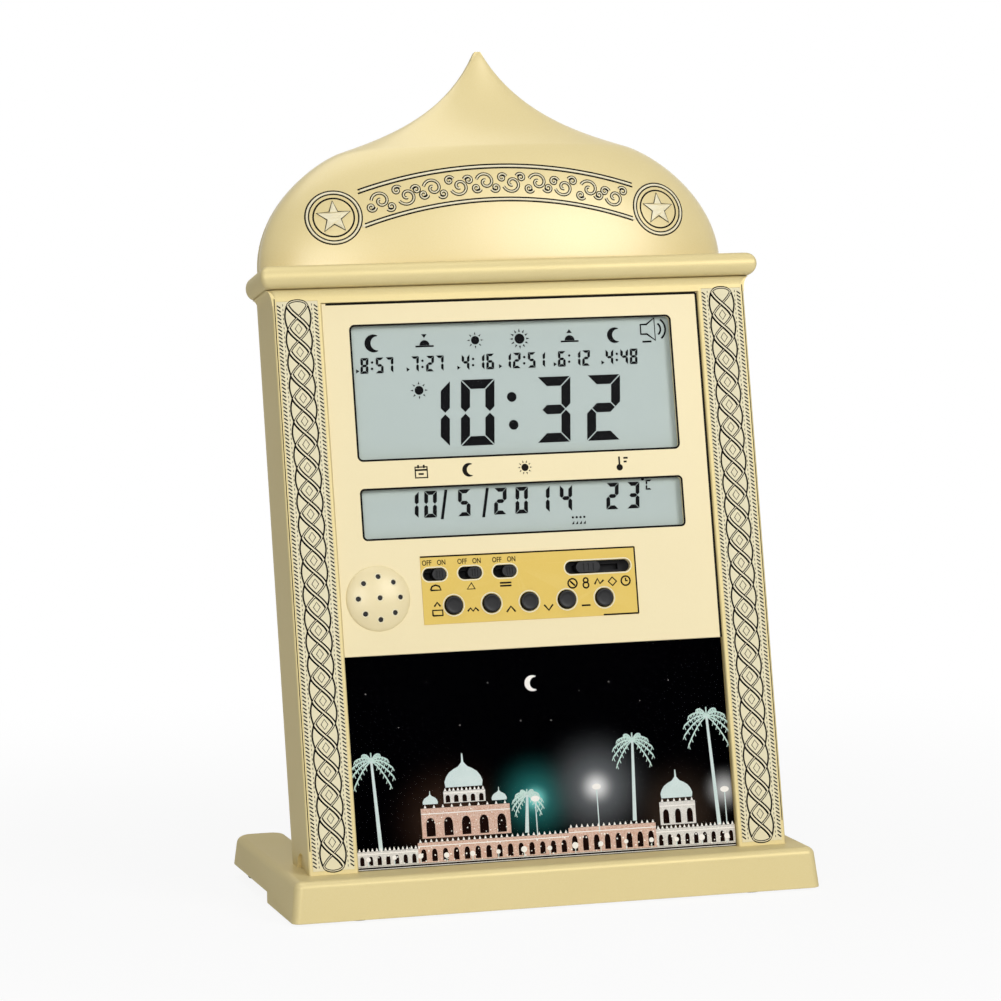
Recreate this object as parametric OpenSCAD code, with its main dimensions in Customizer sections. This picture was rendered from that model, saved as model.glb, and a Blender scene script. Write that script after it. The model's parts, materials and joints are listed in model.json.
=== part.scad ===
// Leaning table clock with an onion dome top, two ornamented columns, two LCD windows,
// a row of controls, a picture window and a low stand with two rear legs.
// The leaning case is modelled upright in its own frame: X across, Y rearwards from the
// columns' front plane, Z up from its bottom edge. lean() sets it on the stand.

/* [Case] */
// Width across the two columns
case_w = 184; // [180:1:230]
// Height of the columns
case_h = 214; // [200:1:260]
// Depth of the front moulding, up to the seam with the back cover
front_d = 25; // [24:0.5:36]
// Depth of the back cover behind the seam
cover_d = 4.5; // [4:0.5:8]
// Wall of the mouldings
wall = 2.2; // [1.6:0.1:3]
// Width of each column's front
column_w = 18.7; // [16:0.1:24]
// Angle that the case leans back on its stand
lean_angle = 10.6; // [4:0.1:14]

/* [Dome and cornice] */
// Height of the cornice between the columns and the dome
cornice_h = 11.6; // [9:0.1:16]
// How far the cornice stands out from the columns
cornice_out = 4.6; // [3:0.1:7]
// How far the cove runs down the columns' outer sides
cornice_skirt = 3; // [1:0.1:6]
// Height of the dome above the cornice
dome_h = 85.4; // [70:0.1:110]
// How much narrower than the case the dome's foot is, each side
dome_inset = 1; // [0:0.1:4]
// Bulge of the dome's front before its seam
dome_bulge = 20.5; // [12:0.1:22]

/* [Face] */
// How far the face lies behind the columns' front plane
face_recess = 1.2; // [0.8:0.1:2]
// Thickness of the face panel
face_t = 2; // [1.6:0.1:2.4]
// Gap above the face panel, below the cornice
face_top_gap = 2.4; // [1:0.1:5]
// Least width of face left beside the display windows
window_margin = 11; // [10:0.1:20]
// Height of the main display window
main_window_h = 50.6; // [40:0.1:52]
// Height of the main display window's lower edge
main_window_z = 152.1; // [150:0.1:160]
// Height of the date window
date_window_h = 18.6; // [14:0.1:20]
// Height of the date window's lower edge
date_window_z = 122.5; // [121:0.1:128]
// Height of the picture window
picture_h = 79.4; // [50:0.1:80]

/* [Controls] */
// Width of the control plate
plate_w = 83.4; // [80:0.1:88]
// Height of the control plate
plate_h = 25.6; // [22:0.1:28]
// Height of the control plate's lower edge
plate_z = 89.8; // [86:0.1:92]
// Diameter of the push buttons
button_d = 6.6; // [5:0.1:8]
// Distance between the push buttons
button_pitch = 14.6; // [12:0.1:16]
// Height of the row of push buttons
button_z = 96.6; // [95:0.1:98]
// How far a push button travels
button_travel = 0.8; // [0.4:0.1:1]
// Height of the row of slide switches
switch_z = 108.4; // [106:0.1:110]
// Length of a small switch's slot
switch_slot = 9.2; // [8:0.1:11]
// Length of the selector's slot
selector_slot = 25.6; // [20:0.1:26]
// Height of the switch slots
slot_h = 4.8; // [4:0.1:6]
// Length of a small switch's knob
knob_l = 5.2; // [4:0.1:6]
// Length of the selector's knob
selector_l = 9.4; // [8:0.1:11]

/* [Speaker] */
// Diameter of the raised speaker grille
grille_d = 24.5; // [20:0.1:28]
// Diameter of the speaker
speaker_d = 27; // [24:0.5:28]
// Diameter of a hole in the grille
grille_hole_d = 1.9; // [1:0.1:2.4]

/* [Stand] */
// How far the stand reaches past each side of the case
stand_reach = 9.4; // [6:0.1:16]
// Depth of the stand, legs included
stand_d = 115.4; // [100:0.1:150]
// Height of the stand
stand_h = 16; // [14:0.1:22]
// How far the stand's cross bar goes on behind the case
bar_behind = 4; // [3:0.1:10]
// How far the case stands behind the front of the stand
case_back = 13; // [8:0.1:14]
// Width of each rear leg
leg_w = 19.8; // [14:0.1:28]
// Height of the rear feet under the legs
foot_h = 5; // [3:0.1:6]
// Diameter of the rear feet
foot_d = 13; // [8:0.1:14]

/* [Batteries] */
// Diameter of a battery cell
cell_d = 14.2; // [13.5:0.1:14.5]
// Length of a battery cell
cell_l = 50.2; // [49:0.1:50.5]

/* [Hidden] */
$fn = 48;

eps = 0.01;
// Clearances: pieces that seat, pieces that slide, a pin in its bore
seat_gap = 0.15;
slide_gap = 0.35;
pin_gap = 0.08;
screw_gap = 0.05;
panel_gap = 0.15;
lead_gap = 0.15;

case_d = front_d + cover_d;
case_half = case_w / 2;
column_x = case_half - column_w / 2;
face_half = case_half - column_w;
face_back = face_recess + face_t;
face_top = case_h - face_top_gap;
cover_plate_t = 2.2;
cover_in = case_d - cover_plate_t;
cover_rim = 2.2;
case_y = case_back - stand_d / 2;

cornice_top = case_h + cornice_h;
// The front of the cornice stands out this much more than its sides
cornice_front = 1.2;
dome_foot = case_half - dome_inset;

// Glass, lens and board lie one behind the other
lens_t = 1;
glass_t = 2;
zebra_t = 3.2;
board_t = 1.6;
glass_y = face_back + lens_t;
zebra_y = glass_y + glass_t;
board_y = zebra_y + zebra_t;
board_back = board_y + board_t;
glass_over = 2.4;

carrier_wall = 0.8;
window_x = -0.5;
window_w = 2 * (face_half - window_margin);
main_corner_r = 1.6;
date_corner_r = 1.2;
board_boss_d = 4.4;
board_screw_d = 1.8;
board_screw_x = window_w / 2 - window_x + glass_over + carrier_wall + board_boss_d / 2 + 0.1;
board_half = board_screw_x + 2.4;
board_bottom = plate_z - 3.4;
board_top = face_top - 3.4;
board_step = plate_z + plate_h + 3;
board_low_left = -plate_w / 2 - 1;

button_count = 5;
button_out = 1.6;
button_flange_d = button_d + 2.2;
button_back = face_back + 1.1;
button_x0 = -30.4;
tact_w = 6;
tact_plunger_d = 3.4;

switch_x = [-36.9, -23.3, -9.9];
switch_travel = switch_slot - knob_l - 2 * slide_gap;
// The small knobs rest at the right-hand end of their slots
switch_rest = switch_travel / 2;
knob_h = slot_h - 2 * slide_gap;
knob_out = 0.5;
stem_l = 2;
stem_h = 1.6;
can_y = face_back + 2.4;
can_h = 6.4;
selector_x = 26.3;
selector_steps = 4;
selector_travel = selector_slot - selector_l - 2 * slide_gap;
// The selector rests in its second position from the left
selector_rest = -selector_travel / 2 + selector_travel / selector_steps;

// The grille keeps its distance from the left column
grille_edge = 14.3;
grille_x = -(face_half - grille_edge);
grille_z = 100.5;
grille_rise = 2.6;
grille_bore_d = grille_d - 3;
grille_ring_d = 16;
grille_ring_count = 8;
speaker_depth = 6;
magnet_d = 15;
magnet_t = 5;
speaker_y = face_back;

niche_r = 7;
niche_deep = 1.2;
niche_y = front_d * 0.55;

inlay_w = column_w - 3;
inlay_t = 0.4;
inlay_margin = 1.5;

boss_d = 7;
screw_d = 2.6;
screw_head_d = 5;
screw_head_t = 1.3;
case_screw_z = [12, case_h / 2, case_h - 12];
dome_screw_x = 42;
dome_screw_up = 22;
dome_screw_z = cornice_top + dome_screw_up;
board_screw_places = [[-1, board_top - 2.6], [1, board_top - 2.6], [-1, 146.6], [1, 146.6],
    [1, board_bottom + 3]];
board_screw_l = 4.4;

cell_count = 3;
cell_gap = 0.6;
box_wall = 1.4;
spring_l = 4;
plate_l = 0.4;
box_in_l = cell_l + spring_l + plate_l;
box_in_h = cell_count * cell_d + (cell_count - 1) * cell_gap + 1.2;
box_z = 22;
box_in_y = cover_in - cell_d - 0.6;
door_gap = 0.4;
door_w = box_in_l + 2 * box_wall + 1;
door_h = box_in_h + 2 * box_wall + 1;
door_t = 2;
door_z = box_z + box_in_h / 2 - door_h / 2;
door_pin_r = 0.7;
door_pin_l = 1.6;
door_axis_y = case_d - door_t / 2;
door_axis_z = door_z + door_t / 2;

keyhole_z = case_h - 40;
keyhole_head_r = 5;
keyhole_slot_r = 2.5;
keyhole_slot_l = 9;
hanger_t = 1.2;
hanger_over = 6;
// The window in the back cover, and the middle of its height
hanger_window_w = 22;
hanger_window_h = 31;
hanger_z = keyhole_z + keyhole_slot_l / 2;
rivet_d = 2.5;
rivet_head_d = 4.5;
rivet_head_t = 0.8;
rivet_x = hanger_window_w / 2 + hanger_over / 2;

jack_x = 56;
jack_z = 14;
jack_w = 9;
jack_h = 9;
jack_d = 12;
jack_bore_r = 2.75;
jack_pin_r = 1;

stand_half = case_half + stand_reach;
stand_w = 2 * stand_half;
bar_d = case_back + case_d + bar_behind;
stand_draft = 1.7;
edge_r = 3;
bar_bottom = 0.8;
cavity_h = 7.6;
stand_wall = 2.4;
plate_t = 1.8;
stand_front = -stand_d / 2;
bar_rear = stand_front + bar_d;
leg_r = leg_w / 2;
leg_x = stand_half - leg_r;
leg_end_y = stand_d / 2 - leg_r;
leg_bottom = foot_h;
stand_plate_front = stand_front + stand_wall + 0.4;
case_stand_x = 50;
case_stand_y = 12;
case_stand_seat = 2.6;
case_stand_boss_h = 10;
plate_boss_d = 6;
plate_screw_x = stand_half - 12;
plate_screw_y = [stand_front + 8, bar_rear - 6];
front_foot_d = 10;
front_foot_x = stand_half - 26;
front_foot_y = stand_front + 9;

gold = [0.86, 0.8, 0.6];
pale_gold = [0.91, 0.86, 0.7];
deep_gold = [0.82, 0.72, 0.4];
ink = [0.09, 0.09, 0.1];
lcd_grey = [0.68, 0.73, 0.71];
board_green = [0.1, 0.36, 0.2];
steel = [0.7, 0.7, 0.72];
soft_black = [0.12, 0.12, 0.13];

// ---- helpers ----

// Sets the leaning case on the stand
module lean() {
    translate([0, case_y, stand_h]) rotate([-lean_angle, 0, 0]) children();
}

// A box given by its low and high corners
module span(low, high) {
    translate(low) cube(high - low);
}

// A cylinder along Y from y0 to y1 at (x, z)
module rod_y(x, z, y0, y1, d) {
    translate([x, y0, z]) rotate([-90, 0, 0]) cylinder(h = y1 - y0, d = d);
}

// A box in the X-Z plane with round ends, along Y from y0 to y1
module stadium_y(x, z, l, h, y0, y1) {
    span([x - l / 2 + h / 2, y0, z - h / 2], [x + l / 2 - h / 2, y1, z + h / 2]);
    for (side = [-1, 1]) rod_y(x + side * (l - h) / 2, z, y0, y1, h);
}

// A 2D outline in the X-Z plane, extruded along Y from y0 to y1
module slab_y(y0, y1) {
    translate([0, y1, 0]) rotate([90, 0, 0]) linear_extrude(y1 - y0) children();
}

// A rounded rectangle about the origin
module rounded(w, h, r) {
    square([w - 2 * r, h], center = true);
    square([w, h - 2 * r], center = true);
    for (sx = [-1, 1], sz = [-1, 1]) translate([sx * (w / 2 - r), sz * (h / 2 - r)]) circle(r);
}

// A pan-head screw along +Y, its head's underside at y
module screw_y(x, z, y, l, d, head_d, head_t) {
    rod_y(x, z, y - l, y, d);
    rod_y(x, z, y, y + head_t, head_d);
}

function bezier(p, t) = pow(1 - t, 3) * p[0] + 3 * pow(1 - t, 2) * t * p[1]
    + 3 * (1 - t) * t * t * p[2] + pow(t, 3) * p[3];

function unit(v) = v / norm(v);

// A wire along a smooth curve: p holds its two ends and the two points that pull it
module wire(p, d) {
    rings = 12;
    sides = 8;
    aside = unit([0.6, -0.5, 0.62]);
    line = [for (i = [0 : rings]) bezier(p, i / rings)];
    points = [for (i = [0 : rings]) let(
        t = unit(line[min(i + 1, rings)] - line[max(i - 1, 0)]),
        u = unit(cross(t, aside)),
        v = cross(t, u))
        for (k = [0 : sides - 1])
            line[i] + d / 2 * (cos(360 * k / sides) * u + sin(360 * k / sides) * v)];
    skin = [for (i = [0 : rings - 1], k = [0 : sides - 1])
        let(a = i * sides + k, b = i * sides + (k + 1) % sides)
        each [[a, a + sides, b + sides], [a, b + sides, b]]];
    start = [for (k = [0 : sides - 1]) k];
    end = [for (k = [sides - 1 : -1 : 0]) rings * sides + k];
    polyhedron(points, concat(skin, [start, end]));
}

// Half outline of the dome from its foot to its tip, as [half width, height];
// inset moves it inwards by a wall
function dome_side(inset, n) = let(
    w = dome_foot - inset,
    h = dome_h - 2.2 * inset,
    knee = [0.643 * w, 0.543 * h],
    lower = [[w, 0], [1.016 * w, 0.25 * h], [0.82 * w, 0.462 * h], knee],
    upper = [knee, [0.48 * w, 0.6 * h], [0.16 * w, 0.69 * h], [0.012 * w, h]])
    concat([for (i = [0 : n - 1]) bezier(lower, i / n)], [for (i = [0 : n]) bezier(upper, i / n)]);

// The dome: half ellipses stacked up the outline, flat at the back seam
module dome_solid(inset, low, n, m) {
    side = dome_side(inset, n);
    rings = len(side);
    bulge = dome_bulge - inset;
    points = [for (s = side, k = [0 : m])
        let(a = 180 * k / m, b = bulge * s[0] / side[0][0])
        [s[0] * cos(a), front_d - b * sin(a), cornice_top + s[1] - (s[1] == 0 ? low : 0)]];
    row = m + 1;
    skin = [for (j = [0 : rings - 2], k = [0 : m])
        let(a = j * row + k, b = j * row + (k + 1) % row)
        each [[a, b + row, a + row], [a, b, b + row]]];
    foot = [for (k = [m : -1 : 0]) k];
    tip = [for (k = [0 : m]) (rings - 1) * row + k];
    polyhedron(points, concat(skin, [foot, tip]));
}

// How deep the dome's skin lies at x, up above the cornice
function dome_y(x, up) = let(
    half = lookup(up, [for (s = dome_side(0, 12)) [s[1], s[0]]]),
    bulge = dome_bulge * half / dome_foot)
    front_d - bulge * sqrt(1 - pow(x / half, 2));

// Outline of the whole case seen from behind, moved inwards by inset
function case_outline(inset) = let(
    side = dome_side(inset, 12),
    right = [for (s = side) [s[0], cornice_top + s[1]]],
    left = [for (i = [len(side) - 1 : -1 : 0]) [-side[i][0], cornice_top + side[i][1]]],
    w = case_half - inset)
    concat([[-w, inset], [w, inset], [w, cornice_top - 3.6]], right, left,
        [[-w, cornice_top - 3.6]]);

// ---- case ----

module front_frame() {
    inner = case_half - wall;
    ledge = 2.2;
    color(gold) lean() difference() {
        union() {
            difference() {
                span([-case_half, 0, 0], [case_half, front_d, case_h]);
                span([-inner, wall, wall], [inner, front_d + 1, case_h - wall]);
            }
            // Inner sides of the two columns, with the ledge that the face seats on
            for (side = [-1, 1]) {
                x0 = side > 0 ? face_half : -face_half - wall;
                span([x0, 0, 0], [x0 + wall, front_d * 0.6, case_h]);
                x1 = side > 0 ? face_half - ledge : -face_half;
                span([x1, face_back, wall - eps], [x1 + ledge, face_back + ledge, case_h - wall + eps]);
            }
            for (side = [-1, 1], z = case_screw_z)
                rod_y(side * column_x, z, wall - eps, cover_in, boss_d);
            for (side = [-1, 1])
                translate([side * case_stand_x, case_stand_y, wall - eps])
                    cylinder(h = case_stand_boss_h, d = boss_d);
        }
        span([-face_half, -1, -1], [face_half, face_back, face_top]);
        // The face's ledge makes way for the speaker
        rod_y(grille_x, grille_z, face_back - eps, face_back + ledge + 1, speaker_d + 2 * slide_gap);
        for (side = [-1, 1], z = case_screw_z)
            rod_y(side * column_x, z, 8, cover_in + 1, screw_d + 2 * screw_gap);
        for (side = [-1, 1])
            translate([side * case_stand_x, case_stand_y, -1])
                cylinder(h = case_stand_boss_h - 1, d = screw_d + 2 * screw_gap);
        // Arched niche at the foot of each outer side
        for (side = [-1, 1]) translate([side * case_half - niche_deep, niche_y, niche_r / 4])
            rotate([0, 90, 0]) cylinder(h = 2 * niche_deep, r = niche_r);
        for (side = [-1, 1])
            span([side * column_x - inlay_w / 2, -1, inlay_margin],
                [side * column_x + inlay_w / 2, inlay_t, case_h - inlay_margin]);
    }
}

module column_inlay(side) {
    x = side * column_x;
    gap = 0.05;
    half = inlay_w / 2 - gap;
    color(gold) lean()
        span([x - half, gap, inlay_margin + gap], [x + half, inlay_t, case_h - inlay_margin - gap]);
}
module column_inlay_left() { column_inlay(-1); }
module column_inlay_right() { column_inlay(1); }

// Profile of the cornice as [stand-out, height]: a small cove and a tall half-round bead;
// skirt is how far the cove starts below the top of the columns
function cornice_profile(skirt) = let(
    h = cornice_h,
    out = cornice_out,
    neck = 0.24 * h,
    flare = (skirt > 0 ? 0.5 : 0.3) * out)
    concat(
        [for (i = [0 : 6]) let(a = 90 * i / 6) [flare * (1 - cos(a)), -skirt + (neck + skirt) * sin(a)]],
        [for (i = [0 : 10]) let(a = -90 + 180 * i / 10)
            [0.28 * out + 0.72 * out * cos(a), 0.62 * h + 0.38 * h * sin(a)]],
        [[0, h]]);

module cornice() {
    side = cornice_profile(cornice_skirt);
    z0 = case_h;
    across = concat([for (p = side) [case_half + p[0], z0 + p[1]]],
        [for (i = [len(side) - 1 : -1 : 0]) [-case_half - side[i][0], z0 + side[i][1]]]);
    front = concat([for (p = cornice_profile(0)) [-cornice_front * p[0], z0 + p[1]]],
        [[front_d, z0 + cornice_h], [front_d, z0 - cornice_skirt - 1], [0, z0 - cornice_skirt - 1]]);
    inner = case_half - wall - 2;
    color(gold) lean() difference() {
        intersection() {
            slab_y(-20, front_d) polygon(across);
            translate([-case_w, 0, 0]) rotate([90, 0, 90]) linear_extrude(2 * case_w) polygon(front);
        }
        span([-inner, wall + 1, case_h - 1], [inner, front_d + 1, cornice_top - wall]);
        span([-case_half, -1, 0], [case_half, front_d + 1, case_h]);
    }
}

module dome_front() {
    boss_y = dome_y(dome_screw_x, dome_screw_up) + wall;
    color(gold) lean() {
        difference() {
            union() {
                difference() {
                    dome_solid(0, 0, 12, 28);
                    translate([0, eps, 0]) dome_solid(wall + 0.3, 1, 12, 28);
                }
                for (side = [-1, 1]) rod_y(side * dome_screw_x, dome_screw_z, boss_y, cover_in, boss_d);
            }
            for (side = [-1, 1])
                rod_y(side * dome_screw_x, dome_screw_z, boss_y + wall, cover_in + 1,
                    screw_d + 2 * screw_gap);
        }
    }
}

// ---- face ----

module face_cuts(y0, y1, gap) {
    for (i = [0 : button_count - 1])
        rod_y(button_x0 + i * button_pitch, button_z, y0, y1, button_d + 2 * gap);
    for (x = switch_x) stadium_y(x, switch_z, switch_slot, slot_h, y0, y1);
    stadium_y(selector_x, switch_z, selector_slot, slot_h, y0, y1);
}

module face_panel() {
    w = 2 * (face_half - panel_gap);
    h = face_top - 2 * panel_gap;
    card_back = face_recess + lens_t + 0.3;
    color(pale_gold) lean() difference() {
        union() {
            span([-w / 2, face_recess, panel_gap], [w / 2, face_back, panel_gap + h]);
            for (p = board_screw_places)
                rod_y(p[0] * board_screw_x, p[1], face_back - eps, board_y, board_boss_d);
        }
        translate([window_x, 0, 0]) {
            slab_y(0, face_back + 1) translate([0, main_window_z + main_window_h / 2])
                rounded(window_w, main_window_h, main_corner_r);
            slab_y(0, face_back + 1) translate([0, date_window_z + date_window_h / 2])
                rounded(window_w, date_window_h, date_corner_r);
        }
        face_cuts(0, face_back + 1, slide_gap);
        rod_y(grille_x, grille_z, 0, face_back + 1, grille_bore_d);
        span([-w, 0, -1], [w, card_back, picture_h]);
        for (p = board_screw_places)
            rod_y(p[0] * board_screw_x, p[1], face_back + 0.6, board_y + 1, board_screw_d + 2 * screw_gap);
    }
}

module control_plate() {
    t = 0.3;
    x0 = -plate_w / 2 - 0.4;
    color(deep_gold) lean() difference() {
        span([x0, face_recess - t, plate_z], [x0 + plate_w, face_recess, plate_z + plate_h]);
        face_cuts(0, face_recess + 1, slide_gap);
    }
}

// Points of the grille's domed face, moved inwards by inset, as [radius, height over the face]
function grille_arc(inset) = let(
    r = (pow(grille_d / 2, 2) + pow(grille_rise, 2)) / (2 * grille_rise),
    spread = asin(grille_d / 2 / r))
    [for (i = [0 : 8]) let(a = spread * i / 8)
        [(r - inset) * sin(a), (r - inset) * cos(a) - r + grille_rise]];

module speaker_grille() {
    shell = 1.4;
    bore_r = grille_bore_d / 2 - 1.4;
    outer = grille_arc(0);
    inner = [for (p = grille_arc(shell)) if (p[0] < bore_r) p];
    color(pale_gold) lean() difference() {
        translate([grille_x, face_recess, grille_z]) rotate([90, 0, 0]) rotate_extrude()
            polygon(concat([for (i = [len(inner) - 1 : -1 : 0]) inner[i]], outer,
                [[grille_bore_d / 2 - seat_gap, 0], [grille_bore_d / 2 - seat_gap, -face_t],
                [bore_r, -face_t], [bore_r, 0]]));
        rod_y(grille_x, grille_z, -5, face_back, grille_hole_d);
        for (i = [0 : grille_ring_count - 1]) {
            a = 360 * i / grille_ring_count;
            rod_y(grille_x + grille_ring_d / 2 * cos(a), grille_z + grille_ring_d / 2 * sin(a),
                -5, face_back, grille_hole_d);
        }
    }
}

module picture_lens() {
    w = face_half - 0.3;
    color([0.85, 0.9, 0.95, 0.4]) lean()
        span([-w, face_recess, 0.5], [w, face_recess + lens_t, picture_h - 0.1]);
}

module picture_card() {
    w = face_half - 0.3;
    color(ink) lean()
        span([-w, face_recess + lens_t, 0.5], [w, face_recess + lens_t + 0.3, picture_h - 0.1]);
}

// ---- displays and board ----

module behind_window(z, h, y0, y1, over) {
    half = window_w / 2 + over;
    lean() span([window_x - half, y0, z - over], [window_x + half, y1, z + h + over]);
}

module main_lcd_lens() {
    color([0.8, 0.86, 0.88, 0.4])
        behind_window(main_window_z, main_window_h, face_back, glass_y, glass_over);
}
module date_lcd_lens() {
    color([0.8, 0.86, 0.88, 0.4])
        behind_window(date_window_z, date_window_h, face_back, glass_y, glass_over);
}
module main_lcd_glass() {
    color(lcd_grey) behind_window(main_window_z, main_window_h, glass_y, zebra_y, glass_over);
}
module date_lcd_glass() {
    color(lcd_grey) behind_window(date_window_z, date_window_h, glass_y, zebra_y, glass_over);
}

module lcd_carrier() {
    half = window_w / 2 + glass_over + carrier_wall;
    color(soft_black) difference() {
        lean() span([window_x - half, face_back, date_window_z - glass_over - carrier_wall],
            [window_x + half, zebra_y - 0.2, main_window_z + main_window_h + glass_over + carrier_wall]);
        behind_window(main_window_z, main_window_h, 0, zebra_y + 1, glass_over + seat_gap);
        behind_window(date_window_z, date_window_h, 0, zebra_y + 1, glass_over + seat_gap);
    }
}

module zebra_strips() {
    color([0.75, 0.45, 0.6]) lean() for (z = [main_window_z - 1, date_window_z - 1])
        span([-window_w / 2 + 4, zebra_y, z - 0.8], [window_w / 2 - 6, board_y, z + 0.8]);
}

module main_board() {
    color(board_green) lean() difference() {
        union() {
            span([-board_half, board_y, board_step], [board_half, board_back, board_top]);
            span([board_low_left, board_y, board_bottom], [board_half, board_back, board_step + eps]);
        }
        for (p = board_screw_places)
            rod_y(p[0] * board_screw_x, p[1], board_y - 1, board_back + 1, board_screw_d + 0.4);
    }
}

module board_chips() {
    color(soft_black) lean() {
        for (p = [[-30, 178], [22, 178], [0, 136]]) rod_y(p[0], p[1], board_back, board_back + 1.8, 13);
        for (x = [-12, 40]) span([x, board_back, 100], [x + 10, board_back + 2.2, 106]);
        for (x = [-4, 8, 52]) rod_y(x, 122, board_back, board_back + 7, 5);
        span([-50, board_back, 150], [-42, board_back + 2.6, 153]);
    }
}

module temperature_sensor() {
    color([0.2, 0.2, 0.24]) lean() {
        rod_y(50, 126, board_back, board_back + 5, 1.2);
        translate([50, board_back + 5, 126]) sphere(d = 3.4);
    }
}

module tact_switches() {
    plunger_y = button_back + button_travel + seat_gap;
    half = tact_w / 2;
    color(steel) lean() for (i = [0 : button_count - 1]) {
        x = button_x0 + i * button_pitch;
        span([x - half, board_y - half, button_z - half], [x + half, board_y, button_z + half]);
        rod_y(x, button_z, plunger_y, board_y - half + eps, tact_plunger_d);
    }
}

module button(i) {
    x = button_x0 + (i - 1) * button_pitch;
    flange_y = face_back + slide_gap;
    color(soft_black) lean() {
        rod_y(x, button_z, face_recess - button_out, flange_y + eps, button_d);
        rod_y(x, button_z, flange_y, button_back, button_flange_d);
    }
}
module button_1() { button(1); }
module button_2() { button(2); }
module button_3() { button(3); }
module button_4() { button(4); }
module button_5() { button(5); }

// A slide switch can on the board, with the slot that the knob's stem runs in
module can(x, l, travel) {
    slot_l = travel + stem_l + 2 * slide_gap;
    lean() difference() {
        span([x - l / 2, can_y, switch_z - can_h / 2], [x + l / 2, board_y, switch_z + can_h / 2]);
        span([x - slot_l / 2, can_y - 1, switch_z - stem_h / 2 - slide_gap],
            [x + slot_l / 2, can_y + 2.6, switch_z + stem_h / 2 + slide_gap]);
    }
}
module switch_cans() {
    color(steel) for (x = switch_x) can(x, 11, switch_travel);
}
module selector_can() {
    color(steel) can(selector_x, 27, selector_travel);
}

// A slide knob: its head in the face's slot, its stem in the can
module knob(x, l) {
    foot_y = can_y - 0.4;
    color(soft_black) lean() {
        difference() {
            stadium_y(x, switch_z, l, knob_h, face_recess - knob_out, foot_y);
            for (i = [-1, 0, 1])
                span([x + i * l / 5 - 0.25, face_recess - knob_out - 1, switch_z - 1.2],
                    [x + i * l / 5 + 0.25, face_recess - knob_out + 0.3, switch_z + 1.2]);
        }
        span([x - stem_l / 2, foot_y - eps, switch_z - stem_h / 2],
            [x + stem_l / 2, can_y + 2.2, switch_z + stem_h / 2]);
    }
}
module switch_knob_1() { knob(switch_x[0] + switch_rest, knob_l); }
module switch_knob_2() { knob(switch_x[1] + switch_rest, knob_l); }
module switch_knob_3() { knob(switch_x[2] + switch_rest, knob_l); }
module selector_knob() { knob(selector_x + selector_rest, selector_l); }

// ---- speaker ----

module speaker_ring() {
    color(soft_black) lean() difference() {
        rod_y(grille_x, grille_z, speaker_y, speaker_y + 1.2, speaker_d);
        rod_y(grille_x, grille_z, speaker_y - 1, speaker_y + 2, speaker_d - 4);
    }
}

module speaker_cone() {
    y0 = speaker_y + 1.2;
    t = 0.6;
    color([0.2, 0.18, 0.16]) lean() translate([grille_x, y0, grille_z]) rotate([-90, 0, 0])
        rotate_extrude() polygon([[0, 3.4], [4, 3.4], [speaker_d / 2 - 2.4, 0], [speaker_d / 2 - 1.4, 0],
            [speaker_d / 2 - 1.4, t], [speaker_d / 2 - 2.2, t], [4, 3.4 + t], [0, 3.4 + t]]);
}

module speaker_basket() {
    y0 = speaker_y + 1.2;
    r = speaker_d / 2;
    color(steel) lean() translate([grille_x, y0, grille_z]) rotate([-90, 0, 0]) rotate_extrude()
        polygon([[r - 1.3, 0], [r, 0], [r, 2], [magnet_d / 2 + 1, speaker_depth], [0, speaker_depth],
            [0, speaker_depth - 0.8], [magnet_d / 2, speaker_depth - 0.8], [r - 1.3, 1.4]]);
}

module speaker_magnet() {
    y0 = speaker_y + 1.2 + speaker_depth;
    color(soft_black) lean() rod_y(grille_x, grille_z, y0, y0 + magnet_t, magnet_d);
}

module speaker_leads() {
    y = speaker_y + 1.2 + speaker_depth + 2;
    x0 = grille_x + magnet_d / 2;
    x1 = board_low_left + 6.7;
    color([0.7, 0.1, 0.1]) lean() for (z = [grille_z - 2, grille_z + 2])
        wire([[x0, y, z], [x0 + 8, y, z], [x1, board_back + 9, z], [x1, board_back + lead_gap, z]], 1);
}

// ---- back ----

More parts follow.
